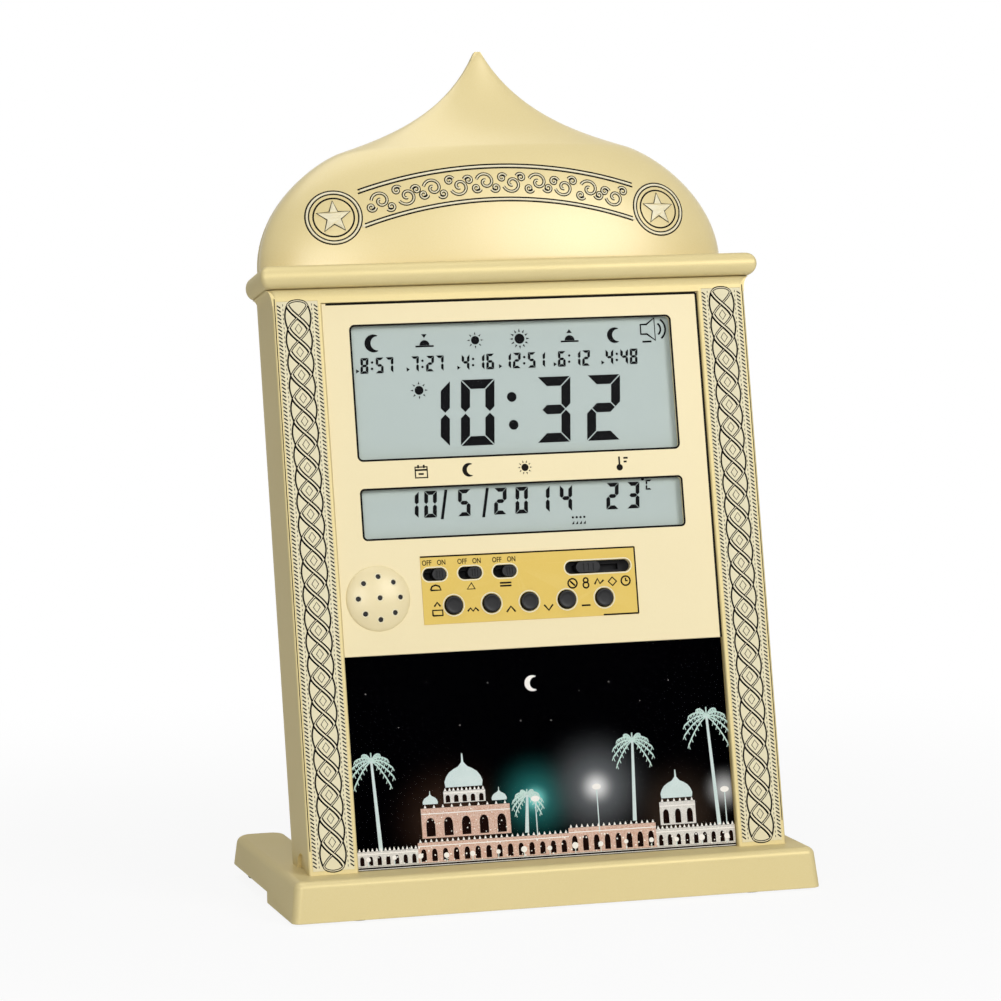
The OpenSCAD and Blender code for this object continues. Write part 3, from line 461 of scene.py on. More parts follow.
# Black print, and also the colour of the painted shade lines round the face and windows, along the label's
# edges and down the columns' outer edges
INK_AND_SHADE = skin("ink", (16, 13, 10), (8, 7, 6), (50, 42, 30), 0.6, peel=0.1, wear=0.1, ior=1.15)
BLACK_GLOSS = skin("black_gloss", (14, 14, 16), (8, 8, 9), (48, 48, 52), 0.35,
                   peel=0.06, wear=0.3)
BLACK_MATT = skin("black_matt", (26, 26, 28), (14, 14, 15), (60, 60, 62), 0.6, peel=0.2)
RUBBER = skin("foot_rubber", (30, 30, 30), (16, 16, 16), (66, 66, 64), 0.8, peel=0.4,
              peel_scale=900.0)
LCD_GREY = skin("lcd_grey", (195, 208, 204), (184, 198, 194), (206, 216, 212), 0.5,
                peel=0.03, drift_scale=9.0, wear=0.0)
LCD_INK = skin("lcd_ink", (6, 6, 7), (4, 4, 5), (20, 20, 22), 0.5, peel=0.02, ior=1.1)
STEEL = skin("plated_steel", (188, 188, 190), (140, 140, 144), (226, 226, 228), 0.3,
             metallic=0.9, peel=0.2, wear=0.6)
BOARD = skin("board_green", (26, 96, 54), (14, 66, 36), (80, 150, 96), 0.4, coat=0.3,
             peel=0.2)
CELL = skin("cell_wrap", (188, 140, 60), (40, 40, 44), (226, 196, 130), 0.3, metallic=0.5)
LEAD = skin("lead_red", (170, 30, 26), (120, 16, 14), (214, 80, 70), 0.45)


def clear_plastic(name, tint, alpha, roughness):
    """A clear window with a faint smear in its gloss."""
    material = skin(name, tint, tint, tint, roughness, peel=0.01, rough_drift=0.02, wear=0.0)
    tree = material.node_tree
    feed(tree, tree.nodes["Principled BSDF"], {"Alpha": alpha, "Specular IOR Level": 0.3})
    return material


LENS = clear_plastic("clear_lens", (40, 46, 48), 0.03, 0.08)
PICTURE_LENS = clear_plastic("picture_lens", (8, 8, 10), 0.02, 0.06)


# ---- camera, light and floor ----

def looking(place, aim):
    """A transform that stands at place and looks at aim."""
    turn = (Vector(aim) - Vector(place)).to_track_quat("-Z", "Y")
    return Matrix.Translation(place) @ turn.to_matrix().to_4x4()


def add_camera():
    """The photo's camera, as solved from the front's straight edges."""
    position = Vector((-0.3921, -1.4614, 0.2763))
    aim = Vector((-0.00465, 0.0, 0.14677))
    roll = math.radians(-1.286)
    data = bpy.data.cameras.new("camera")
    data.sensor_width = 36.0
    data.lens = 143.86
    camera = new_object("camera", data)
    camera.matrix_world = looking(position, aim) @ Matrix.Rotation(roll, 4, "Z")
    bpy.context.scene.camera = camera


def add_lamp(name, place, aim, size, power):
    data = bpy.data.lights.new(name, "AREA")
    data.shape = "RECTANGLE"
    data.size, data.size_y = size
    data.energy = power
    new_object(name, data).matrix_world = looking(place, aim)


def seen_by_eye(tree):
    """1 for rays from the camera and for what gloss and clear plastic show."""
    path = add_node(tree, "LightPath", {})
    total = math_node(tree, "ADD", path.outputs["Is Camera Ray"], path.outputs["Is Glossy Ray"])
    total = math_node(tree, "ADD", total, path.outputs["Is Transmission Ray"])
    return math_node(tree, "MINIMUM", total, 1.0)


def eased(tree, value, low, high, start, end):
    """Eases from start to end while the value runs from low to high."""
    inputs = {"Value": value, "From Min": low, "From Max": high, "To Min": start, "To Max": end}
    return add_node(tree, "MapRange", inputs, interpolation_type="SMOOTHSTEP").outputs["Result"]


def add_floor():
    """White paper that fades into the white round it, and keeps the object's shadow near it."""
    deselect()
    bpy.ops.mesh.primitive_plane_add(size=30, location=(0, 0, 0))
    floor = bpy.context.active_object
    floor.name = "floor"
    paper = bpy.data.materials.new("floor_paper")
    paper.use_nodes = True
    tree = paper.node_tree
    shader = tree.nodes["Principled BSDF"]
    feed(tree, shader, {"Base Color": (0.8, 0.8, 0.8, 1), "Roughness": 0.9})
    away = add_node(tree, "VectorMath", {0: object_place(tree)}, operation="LENGTH")
    fade = eased(tree, away.outputs["Value"], 0.12, 0.6, 0.9, 1.0)
    glow = add_node(tree, "Emission", {})
    share = math_node(tree, "MULTIPLY", seen_by_eye(tree), fade)
    mix = add_node(tree, "MixShader", {0: share, 1: shader.outputs[0], 2: glow.outputs[0]})
    feed(tree, tree.nodes["Material Output"], {"Surface": mix.outputs[0]})
    floor.data.materials.append(paper)


def add_studio():
    """A white room that lights little by itself, a floor and three soft lamps."""
    bpy.context.scene.view_settings.view_transform = "Standard"
    world = bpy.data.worlds.new("studio")
    bpy.context.scene.world = world
    world.use_nodes = True
    tree = world.node_tree
    ambient = 0.03
    strength = math_node(tree, "ADD", ambient,
                         math_node(tree, "MULTIPLY", seen_by_eye(tree), 1.0 - ambient))
    feed(tree, tree.nodes["Background"], {"Color": (1, 1, 1, 1), "Strength": strength})
    add_floor()
    add_lamp("key", (0.9, -1.7, 1.1), (0, 0, 0.16), (0.9, 0.9), 20)
    add_lamp("front", (-0.7, -1.95, 0.8), (0, 0, 0.18), (0.8, 0.8), 16)
    add_lamp("top", (-0.2, 0.1, 1.6), (0, 0, 0.1), (1.2, 1.2), 9)


# ---- the case ----

def make_case_front():
    """The hollow case with its two columns, whose fronts are sunk a little for the inlays."""
    wall, inlay_half, inlay_margin, inlay_deep = 2.2, COLUMN_W / 2 - 1.5, 1.5, 0.4
    piece = block("case_front", (-CASE_HALF, 0, 0), (CASE_HALF, FRONT_D, CASE_H))
    tools = [block("hollow", (-FACE_HALF, FACE_Y + 4, wall), (FACE_HALF, FRONT_D + 5, CASE_H - wall)),
             block("opening", (-FACE_HALF, -5, -5), (FACE_HALF, FACE_Y + 5, FACE_TOP))]
    niche_y, niche_z, niche_r = FRONT_D * 0.55, 1.75, 7.0
    for side in (-1, 1):
        x = side * COLUMN_X
        tools.append(rod("niche", (side * (CASE_HALF - 1.2), niche_y, niche_z),
                         (side * (CASE_HALF + 1.2), niche_y, niche_z), niche_r))
        tools.append(block("pocket", (x - inlay_half, -1, inlay_margin),
                           (x + inlay_half, inlay_deep, CASE_H - inlay_margin)))
    combine(piece, tools)
    round_edges(piece, lambda a, b: a.y < 0.01 and b.y < 0.01 and abs(a.x - b.x) < 0.01
                and min(abs(abs(a.x) - FACE_HALF), abs(abs(a.x) - CASE_HALF)) < 0.1
                and abs(a.z - b.z) > 50, 0.9, 4)
    soften(piece, 0.25)
    settle(piece, CASE_GOLD, replaces=["front_frame"])


def bezier(p, t):
    u = 1 - t
    return [u ** 3 * a + 3 * u * u * t * b + 3 * u * t * t * c + t ** 3 * d for a, b, c, d in zip(*p)]


def dome_outline(steps):
    """Half outline of the dome as (half width, height above the cornice)."""
    w, h = DOME_FOOT, DOME_H
    knee = (0.643 * w, 0.543 * h)
    lower = ((w, 0), (1.016 * w, 0.25 * h), (0.82 * w, 0.462 * h), knee)
    upper = (knee, (0.48 * w, 0.6 * h), (0.16 * w, 0.69 * h), (0.012 * w, h))
    return ([bezier(lower, i / steps) for i in range(steps)]
            + [bezier(upper, i / steps) for i in range(steps + 1)])


DOME_SIDE = dome_outline(40)


def dome_depth(x, z):
    """Depth of the dome's skin behind the columns' front, at (x, z)."""
    height = max(0.0, min(z - CORNICE_TOP, DOME_H))
    half = DOME_SIDE[-1][0]
    for (w0, h0), (w1, h1) in zip(DOME_SIDE, DOME_SIDE[1:]):
        if h0 <= height <= h1:
            half = w0 + (w1 - w0) * (height - h0) / (h1 - h0)
            break
    bulge = DOME_BULGE * half / DOME_FOOT
    return FRONT_D - bulge * math.sqrt(max(0.0, 1 - (x / half) ** 2))


def make_dome():
    """The half outline spun half round and then flattened from front to back."""
    groove = [(0.0, 0.0), (DOME_FOOT - 0.9, 0.0), (DOME_FOOT - 0.9, 0.5)]
    outline = groove + [(w, h + 0.9 if h < 0.9 else h) for w, h in dome_outline(28)[:-1]]
    outline += [(0.6, DOME_H - 0.25), (0.0, DOME_H)]
    points = [Vector((half, FRONT_D, CORNICE_TOP + height)) for half, height in outline]
    piece = spun("dome", points, 96, 180, (0, FRONT_D, 0), (0, 0, 1))
    bpy.ops.transform.resize(value=(1, DOME_BULGE / DOME_FOOT, 1), center_override=(0, FRONT_D, 0))
    bpy.ops.mesh.select_all(action="DESELECT")
    bpy.ops.mesh.select_mode(type="EDGE")
    bpy.ops.mesh.select_non_manifold()
    bpy.ops.mesh.edge_face_add()
    select_mesh()
    faces_out()
    settle(piece, DOME_GOLD, replaces=["dome_front"], smooth=50)


def on_dome(piece):
    """Moves a flat relief back onto the dome's skin."""
    for v in piece.data.vertices:
        v.co.y += dome_depth(v.co.x, v.co.z)
    return piece


def star_points(cx, cz, outer, inner, turn=90):
    points = []
    for i in range(10):
        radius = inner if i % 2 else outer
        points.append((cx + radius * cosd(turn + 36 * i), cz + radius * sind(turn + 36 * i)))
    return points


def scroll(cx, cz, size, turn, flip):
    """One curl of the running scroll: a spiral that opens into its stem."""
    points = []
    for i in range(26):
        t = i / 25
        angle = turn + flip * (430 * t)
        radius = size * (0.16 + 0.84 * t)
        points.append((cx + radius * cosd(angle), cz + radius * sind(angle)))
    return points


def make_dome_relief():
    """A band between two double lines, with running scrolls in it and a star roundel at each end."""
    roundel_x, roundel_z, roundel_r = 63.8, 245.7, 10.4
    top_r, low_r, centre_z = 184.2, 169.6, 79.8
    line = 0.65
    ridges, inks, closed_inks, closed_ridges = [], [], [], []
    for radius, inner in ((top_r, -1.4), (low_r, 1.3)):
        for r in (radius, radius + inner):
            half = math.degrees(math.asin((roundel_x - roundel_r + (0.6 if r > 175 else -0.8)) / r))
            inks.append(arc(0, centre_z, r, 90 - half, 90 + half, 60))
        half = math.degrees(math.asin((roundel_x - roundel_r) / radius))
        ridges.append(arc(0, centre_z, radius + inner / 2, 90 - half, 90 + half, 60))
    for side in (-1, 1):
        for r in (roundel_r, roundel_r - 1.2, roundel_r - 2.9):
            closed_inks.append(ring(side * roundel_x, roundel_z, r, 56))
        closed_ridges.append(ring(side * roundel_x, roundel_z, roundel_r - 0.6, 56))
    mid_r = (top_r + low_r) / 2
    scrolls = []
    units = 10
    spread = 33.4
    for i in range(units):
        lean = spread * ((i + 0.5) / units - 0.5)
        flip = 1 if i % 2 else -1
        cx, cz = mid_r * cosd(90 + lean), centre_z + mid_r * sind(90 + lean)
        start = 90 if flip > 0 else -90
        scrolls.append(scroll(cx, cz + 0.5 * flip, 3.6, lean + start, flip))
        scrolls.append(scroll(cx + 3.7, cz - 1.9 * flip, 1.8, lean - start, -flip))
        scrolls.append(scroll(cx - 3.7, cz - 1.9 * flip, 1.8, lean - start, flip))
    for name, paths, width, rise, closed, material in (
            ("dome_line_ink", inks, line, 0.16, False, INK_AND_SHADE),
            ("roundel_line_ink", closed_inks, line, 0.16, True, INK_AND_SHADE),
            ("dome_band_ridges", ridges, 0.9, 0.4, False, RELIEF_GOLD),
            ("roundel_ridges", closed_ridges, 0.95, 0.4, True, RELIEF_GOLD),
            ("scroll_ink", scrolls, 1.3, 0.14, False, INK_AND_SHADE),
            ("scroll_ridges", scrolls, 0.6, 0.45, False, RELIEF_GOLD)):
        settle(on_dome(strokes(name, paths, width, rise, 0, closed)), material)
    for side, name in ((-1, "left"), (1, "right")):
        cx = side * roundel_x
        star = plates("star_" + name, [star_points(cx, roundel_z, 6.2, 2.5)], -0.35, 0.7)
        pick(star, faces=lambda c, n: n.y < -0.9)
        bpy.ops.mesh.poke(offset=0.5)
        object_mode()
        settle(on_dome(star), RELIEF_GOLD, smooth=0)
        outline = strokes("star_outline_" + name, [star_points(cx, roundel_z, 6.5, 2.7)], 0.45, 0.42,
                          0, closed=True)
        settle(on_dome(outline), INK_AND_SHADE)


def cornice_steps():
    """Outline of the cornice as (stand-out, height): cove, groove, then a tall half-round bead."""
    h, out = CORNICE_TOP - CASE_H, 4.6
    skirt = [(0.3 * out * (1 - cosd(a)), 0.22 * h * sind(a)) for a in range(0, 91, 15)]
    groove = [(-0.1 * out, 0.225 * h), (-0.1 * out, 0.265 * h)]
    bead = [(0.28 * out + 0.72 * out * cosd(a), 0.63 * h + 0.37 * h * sind(a))
            for a in range(-82, 91, 9)]
    return skirt + groove + bead


def make_cornice():
    """A plan with two rounded corners, extruded up step by step and widened to the profile."""
    deselect()
    bpy.ops.mesh.primitive_plane_add(size=1, location=(0, FRONT_D / 2, CASE_H))
    bpy.context.active_object.scale = (2 * CASE_HALF, FRONT_D, 1)
    piece = added("cornice_moulding")
    pick(piece, verts=lambda co: co.y < 0.1)
    bpy.ops.mesh.bevel(offset=1.6, segments=5, affect="VERTICES")
    select_mesh()
    out_now, height_now = 0.0, 0.0
    pivot = (0, FRONT_D, 0)
    for out, height in cornice_steps()[1:]:
        bpy.ops.mesh.extrude_region_move(TRANSFORM_OT_translate={"value": (0, 0, height - height_now)})
        grow = ((CASE_HALF + out) / (CASE_HALF + out_now),
                (FRONT_D + 1.2 * out) / (FRONT_D + 1.2 * out_now), 1)
        bpy.ops.transform.resize(value=grow, center_override=pivot)
        out_now, height_now = out, height
    select_mesh()
    faces_out()
    object_mode()
    foot, cove_out, cove_h = CASE_H - 3, 2.3, 5.8
    cove = [(CASE_HALF - 1, foot), (CASE_HALF, foot)]
    cove += [(CASE_HALF + cove_out * (1 - cosd(a)), foot + cove_h * sind(a)) for a in range(10, 91, 10)]
    cove += [(CASE_HALF - 1, foot + cove_h)]
    coves = [plates("cove", [[(side * x, z) for x, z in cove]], 0.2, FRONT_D - 0.2) for side in (-1, 1)]
    piece = join("cornice_moulding", [piece] + coves)
    settle(piece, CASE_GOLD, replaces=["cornice"], smooth=40)


PLAIT_PITCH, PLAIT_COUNT, PLAIT_SWING = 8.65, 24, 3.7


def plait_x(turn):
    """Sideways place of a strand after so many half turns: a zigzag, eased at its ends."""
    part = turn % 2
    zigzag = 1 - 2 * part if part < 1 else 2 * part - 3
    return PLAIT_SWING * (0.5 * zigzag + 0.5 * math.cos(math.pi * turn))


def make_column_ornament(side, name):
    """Two crossing strands with scalloped edges and seeds between, and a rope along each side."""
    x, y, steps = side * COLUMN_X, 0.05, 10
    z0 = (CASE_H - PLAIT_PITCH * PLAIT_COUNT) / 2
    z1 = CASE_H - z0
    over, under, scallops, seeds = [], [], [], []
    for phase in (0, 1):
        edge = 2 * phase - 1
        for k in range(PLAIT_COUNT):
            points = [(x + plait_x(k + phase + i / steps), z0 + PLAIT_PITCH * (k + i / steps))
                      for i in range(steps + 1)]
            (under if (k + phase) % 2 else over).append(points)
            scallops.append([(x + edge * (PLAIT_SWING + 0.35 + 0.85 * math.sin(math.pi * i / 8)),
                              z0 + PLAIT_PITCH * (k + i / 8)) for i in range(9)])
    for k in range(1, PLAIT_COUNT):
        seeds.append(moved([(-1.3, 0), (0, -1.9), (1.3, 0), (0, 1.9)], x, z0 + PLAIT_PITCH * k))
    ends = [[(x + PLAIT_SWING * cosd(a), z + turn * 1.9 * sind(a)) for a in range(0, 181, 18)]
            for z, turn in ((z0, -1), (z1, 1))]
    inks = [strokes("ink", under + ends, 1.35, 0.22, y), strokes("ink", over, 2.15, 0.45, y),
            strokes("ink", scallops, 0.8, 0.3, y), strokes("ink", seeds, 0.45, 0.2, y, closed=True)]
    settle(join(f"column_ink_{name}", inks), INK_AND_SHADE)
    ridges = [strokes("ridge", under + ends, 0.45, 0.34, y), strokes("ridge", over, 0.95, 0.62, y)]
    settle(join(f"column_plait_{name}", ridges), RELIEF_GOLD)
    dashes, dots = [], []
    for edge in (-7.0, 7.0):
        for k in range(144):
            z = 3.2 + 1.45 * k
            dashes.append([(x + edge - 0.66, z + 0.5), (x + edge + 0.66, z - 0.5)])
    for edge in (-5.45, 5.45):
        for k in range(122):
            dots.append([(x + edge, 2.6 + 1.72 * k), (x + edge, 3.4 + 1.72 * k)])
    rope = [strokes("rope", dashes, 0.7, 0.2, y), strokes("dots", dots, 0.42, 0.14, y)]
    settle(join(f"column_rope_{name}", rope), INK_AND_SHADE)
    # Painted shade: a thin dark line down the column's outer front edge, standing for the shade along that
    # edge
    edge = side * (CASE_HALF - 0.85)
    line = strokes(f"column_edge_shade_{name}", [[(edge, 8.9), (edge, CASE_H - 0.4)]], 0.36, 0.08, 0.02)
    settle(line, INK_AND_SHADE)


def rounded_path(x0, z0, x1, z1, r):
    """A closed path with four round corners."""
    corners = ((x1 - r, z1 - r, 0), (x0 + r, z1 - r, 90), (x0 + r, z0 + r, 180), (x1 - r, z0 + r, 270))
    return [point for cx, cz, start in corners for point in arc(cx, cz, r, start, start + 90, 6)]


def make_face():
    """The face panel with its windows and holes, the backing of the picture, and painted shade: dark lines
    round both windows and along the face's top and right edges.
    """
    w = FACE_HALF - 0.15
    piece = block("face", (-w, FACE_Y, PICTURE_H), (w, FACE_Y + FACE_T, FACE_TOP - 0.15))
    half = WINDOW_W / 2
    deep = FACE_Y + FACE_T + 1
    windows = ((MAIN_Z, MAIN_H, 1.8), (DATE_Z, DATE_H, 1.5))
    tools = [rounded_block("window", (WINDOW_X - half, -1, z), (WINDOW_X + half, deep, z + h), r)
             for z, h, r in windows]
    tools += control_tools(-1, deep)
    tools.append(peg("grille_hole", GRILLE_X, GRILLE_Z, -1, deep, 10.75))
    combine(piece, tools)
    soften(piece, 0.22, 2)
    back = block("picture_backing", (-w, 2.55, 0.3), (w, FACE_Y + FACE_T, PICTURE_H + 0.2))
    soften(back, 0.1, 1)
    piece = join("face", [piece, back])
    settle(piece, FACE_GOLD, replaces=["face_panel"])
    # Painted shadow lines: round both windows, and along the face's top and right edges, standing for the
    # shade in the gaps and at the windows' edges
    rims = [rounded_path(WINDOW_X - half - 0.1, z - 0.1, WINDOW_X + half + 0.1, z + h + 0.1, r)
            for z, h, r in windows]
    gap_shade_lines = [[(-w + 1.5, FACE_TOP - 0.5), (w - 0.3, FACE_TOP - 0.5)],
             [(w - 0.3, FACE_TOP - 0.5), (w - 0.3, PICTURE_H)]]
    lines = [strokes("rims", rims, 0.75, 0.1, FACE_Y, closed=True),
             strokes("gap_shade_lines", gap_shade_lines, 0.85, 0.1, FACE_Y)]
    settle(join("face_gap_shade_lines", lines), INK_AND_SHADE)


def control_tools(y0, y1):
    """Cutters for the push buttons' holes and the switches' slots."""
    gap = 0.35
    holes = [peg("hole", x, BUTTON_Z, y0, y1, BUTTON_R + gap, 40) for x in BUTTON_X]
    return holes + [stadium("slot", x, SWITCH_Z, length, SLOT_H, y0, y1) for x, length in SLOTS]


def make_control_plate():
    x0 = -PLATE_W / 2 - 0.4
    x1, z1 = x0 + PLATE_W, PLATE_Z + PLATE_H
    y = FACE_Y - 0.3
    piece = block("control_label", (x0, y, PLATE_Z), (x1, FACE_Y + 0.05, z1))
    combine(piece, control_tools(-1, FACE_Y + 1))
    soften(piece, 0.08, 1)
    settle(piece, PLATE_GOLD, replaces=["control_plate"])
    right, top, low = x1 - 0.3, z1 - 0.3, PLATE_Z + 0.3
    # Painted shadow: dark lines along the label's top and right edges and the right end of its bottom edge,
    # standing for the shade at the label's edge
    edge = [[(x0, top), (right, top)], [(right, top), (right, low)], [(right, low), (x1 - 14, low)]]
    settle(strokes("control_label_shade_lines", edge, 0.6, 0.1, y), INK_AND_SHADE)
    out = 0.3
    collars = [ring(x, BUTTON_Z, BUTTON_R + 2 * out + 0.1, 40) for x in BUTTON_X]
    for x, length in SLOTS:
        half, high = length / 2 + out, SLOT_H / 2 + out
        collars.append(rounded_path(x - half, SWITCH_Z - high, x + half, SWITCH_Z + high, high - 0.01))
    settle(strokes("control_collars", collars, 0.5, 0.14, y, closed=True), RELIEF_GOLD)
    make_switch_words(y)
    make_control_marks(y)


def make_switch_words(y):
    """ON and OFF over each small switch."""
    narrow = 0.78
    words = []
    for x in SWITCH_X:
        for word, shift in (("OFF", -2.8), ("ON", 2.8)):
            deselect()
            bpy.ops.object.text_add()
            text = bpy.context.active_object
            text.data.body = word
            text.data.size = 2.7
            text.data.align_x = "CENTER"
            text.data.extrude = 0.06
            text.data.offset = 0.04
            bpy.ops.object.convert(target="MESH")
            text = bpy.context.active_object
            text.data.transform(Matrix.Translation((x + shift, y, SWITCH_Z + 3.5))
                                @ UPRIGHT @ Matrix.Scale(narrow, 4, (1, 0, 0)))
            words.append(text)
    piece = join("switch_words", words)
    weld(piece)
    settle(piece, INK_AND_SHADE, smooth=0)


def make_control_marks(y):
    """Plain pictograms by the switches, under the selector and by the buttons."""
    z = SWITCH_Z - 5.0
    bell = [(-2.0, -0.9), (-1.4, 0.5), (0, 1.0), (1.4, 0.5), (2.0, -0.9), (-2.0, -0.9)]
    lines = [moved(bell, SWITCH_X[0], z)]
    lines += [moved([(-2.2, dz), (2.2, dz)], SWITCH_X[2], z) for dz in (0.6, -0.5)]
    closed = [moved([(-1.5, -1.1), (1.5, -1.1), (0.2, 1.2)], SWITCH_X[1], z)]
    x, z, r = 16.0, 102.5, 1.75
    lines.append(moved([(-0.9, 0.9), (0.9, -0.9)], x, z))
    lines.append(moved([(8.6, -0.8), (9.8, 1.3), (10.7, -0.6), (12.2, 0.7)], x, z))
    lines.append(moved([(20.8, 1.1), (20.8, 0), (21.6, 0)], x, z))
    closed += [ring(x + dx, z + dz, radius, count) for dx, dz, radius, count in
               ((0, 0, r, 16), (5.2, 0.9, 0.9, 12), (5.2, -0.9, 1.1, 12))]
    closed.append(moved([(14.0, 0), (15.6, 1.6), (17.2, 0), (15.6, -1.6)], x, z))
    closed.append(ring(x + 20.8, z, r, 16))
    z = BUTTON_Z - 2.6
    shapes = [[(-1.9, -1.0), (1.9, -1.0), (1.9, 1.0), (-1.9, 1.0), (-1.9, -1.0)],
              [(-2.1, 0), (-1.0, 1.2), (0, 0), (1.0, 1.2), (2.1, 0)],
              [(-1.7, -1.0), (0, 1.1), (1.7, -1.0)], [(-1.7, 1.0), (0, -1.1), (1.7, 1.0)],
              [(-1.7, 0), (1.7, 0)]]
    first_x = BUTTON_X[0] - 6.3
    for shape, x in zip(shapes, [first_x] + [x - 7.3 for x in BUTTON_X[1:]]):
        lines.append(moved(shape, x, z))
    lines.append(moved([(-1.2, 2.4), (0, 3.9), (1.2, 2.4)], first_x, z))
    marks = [strokes("marks", lines, 0.68, 0.06, y), strokes("marks", closed, 0.62, 0.06, y, closed=True)]
    settle(join("control_marks", marks), INK_AND_SHADE)


def make_buttons():
    """Round caps with a dished face."""
    front, back = FACE_Y - 1.6, FACE_Y + FACE_T + 0.9
    for number, x in enumerate(BUTTON_X, 1):
        piece = peg(f"button_cap_{number}", x, BUTTON_Z, front, back, BUTTON_R)
        pick(piece, faces=lambda c, n: n.y < -0.9)
        bpy.ops.mesh.inset(thickness=0.7)
        bpy.ops.mesh.inset(thickness=0.9)
        bpy.ops.transform.translate(value=(0, 0.35, 0))
        object_mode()
        soften(piece, 0.3, 3, 25)
        body = f"button_{number}"
        settle(piece, BLACK_GLOSS, body=body, replaces=[body])


def knob(name, length, body):
    """A slide knob with three grooves, where the CAD knob is."""
    low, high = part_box(body)
    x = (low.x + high.x) / 2 / MM
    front, back = FACE_Y - 0.5, FACE_Y + FACE_T + 2.0
    piece = stadium(name, x, SWITCH_Z, length, SLOT_H - 0.7, front, back)
    places = [x + k * length / 5 for k in (-1, 0, 1)]
    combine(piece, [block("groove", (cx - 0.28, front - 1, SWITCH_Z - 1.3),
                          (cx + 0.28, front + 0.35, SWITCH_Z + 1.3)) for cx in places])
    soften(piece, 0.22, 2, 40)
    settle(piece, BLACK_GLOSS, body=body, replaces=[body])


def make_knobs():
    for number in (1, 2, 3):
        knob(f"knob_{number}", 5.2, f"switch_knob_{number}")
    knob("knob_selector", 9.4, "selector_knob")


def make_grille():
    """A shallow dome spun round, steeper at its rim, with a ring of holes."""
    swell, hole_ring, hole_r, collar, collar_in = 1.3, 8, 0.95, 10.4, 9.4

    def height(radius):
        part = min(radius / GRILLE_R, 1.0) ** 2
        return swell * GRILLE_RISE * (0.4 * (1 - part) + 0.6 * math.sqrt(1 - part))

    outline = [(radius, height(radius)) for radius in [GRILLE_R * sind(6 * i) for i in range(16)]]
    outline += [(GRILLE_R, -0.05), (collar, -0.05), (collar, -1.6), (collar_in, -1.6), (collar_in, 0.3),
                (0.0, 1.2)]
    points = [Vector((GRILLE_X + radius, FACE_Y - rise, GRILLE_Z)) for radius, rise in outline]
    piece = spun("grille_dome", points, 72, 360, (GRILLE_X, 0, GRILLE_Z), (0, 1, 0))
    faces_out()
    object_mode()
    places = [(GRILLE_X, GRILLE_Z)] + arc(GRILLE_X, GRILLE_Z, hole_ring, 0, 315, 7)
    combine(piece, [peg("hole", x, z, -6, 6, hole_r, 20) for x, z in places])
    weld(piece, 0.002, flatten=True)
    settle(piece, FACE_GOLD, replaces=["speaker_grille"], smooth=30)
    rims = [ring(x, z, hole_r + 0.25, 20) for x, z in places]
    plugs = [ring(x, z, hole_r - 0.05, 20) for x, z in places]
    rim = strokes("grille_hole_rims", rims, 0.4, 0.15, 0, closed=True)
    dark = plates("grille_felt", plugs, 0.4, 0.3)
    for part in (rim, dark):
        for v in part.data.vertices:
            v.co.y += FACE_Y - height(math.hypot(v.co.x - GRILLE_X, v.co.z - GRILLE_Z))
    settle(rim, RELIEF_GOLD)
    settle(dark, BLACK_MATT)


# ---- displays ----

SEGMENTS = {"0": "abcdef", "1": "bc", "2": "abged", "3": "abgcd", "4": "fgbc", "5": "afgcd",
            "6": "afgedc", "7": "abc", "8": "abcdefg", "C": "afed"}


def segment_shapes(char, x, z, w, h, t, slant=0.07):
    """Outlines of one seven-segment figure whose lower left corner is (x, z), mitred at corners."""
    g = 0.09 * t
    mid = h / 2
    cap = [(g, h), (w - g, h), (w - t - g, h - t), (t + g, h - t)]
    post = [(0, h - g), (t, h - t - g), (t, mid + t / 2 + g), (t / 2, mid + g), (0, mid + t / 2 + g)]
    bar = [(t / 2 + g, mid), (t + g, mid + t / 2), (w - t - g, mid + t / 2), (w - t / 2 - g, mid),
           (w - t - g, mid - t / 2), (t + g, mid - t / 2)]
    shapes = {"a": cap, "g": bar, "f": post, "d": [(px, h - pz) for px, pz in cap],
              "b": [(w - px, pz) for px, pz in post], "e": [(px, h - pz) for px, pz in post],
              "c": [(w - px, h - pz) for px, pz in post]}
    return [[(x + px + slant * pz, z + pz) for px, pz in shapes[s]] for s in SEGMENTS[char]]


def figures(text, x, z, w, h, t, pitch):
    """A run of figures; a colon takes less room."""
    out = []
    for char in text:
        if char == ":":
            for dz in (0.3, 0.7):
                out.append(ring(x + t * 0.7 + 0.07 * h * dz, z + h * dz, t * 0.5, 10))
            x += t * 2.2
        else:
            out += segment_shapes(char, x, z, w, h, t)
            x += pitch
    return out


def icon_sun(x, z, r, rays=8):
    shapes = [ring(x, z, r * 0.5, 14)]
    for k in range(rays):
        a = 2 * math.pi * k / rays
        c, s = math.cos(a), math.sin(a)
        shapes.append([(x + c * r * 0.68 - s * r * 0.09, z + s * r * 0.68 + c * r * 0.09),
                       (x + c * r * 0.68 + s * r * 0.09, z + s * r * 0.68 - c * r * 0.09),
                       (x + c * r, z + s * r)])
    return shapes


def icon_moon(x, z, r):
    outer = arc(x, z, r, 60, 300, 16)
    inner = arc(x + r * 0.45, z, r * 0.78, 270, 90, 14)
    return [outer + inner]


def icon_horizon(x, z, r, up):
    """A half sun on a line, with an arrow head for rise or fall."""
    shapes = [[(x - r, z - r * 0.5), (x + r, z - r * 0.5), (x + r, z - r * 0.32), (x - r, z - r * 0.32)],
              arc(x, z - r * 0.3, r * 0.55, 0, 180, 12)]
    tip = 1 if up else -1
    zc = z + r * 0.7
    shapes.append([(x - r * 0.3, zc - tip * r * 0.2), (x + r * 0.3, zc - tip * r * 0.2),
                   (x, zc + tip * r * 0.2)])
    return shapes


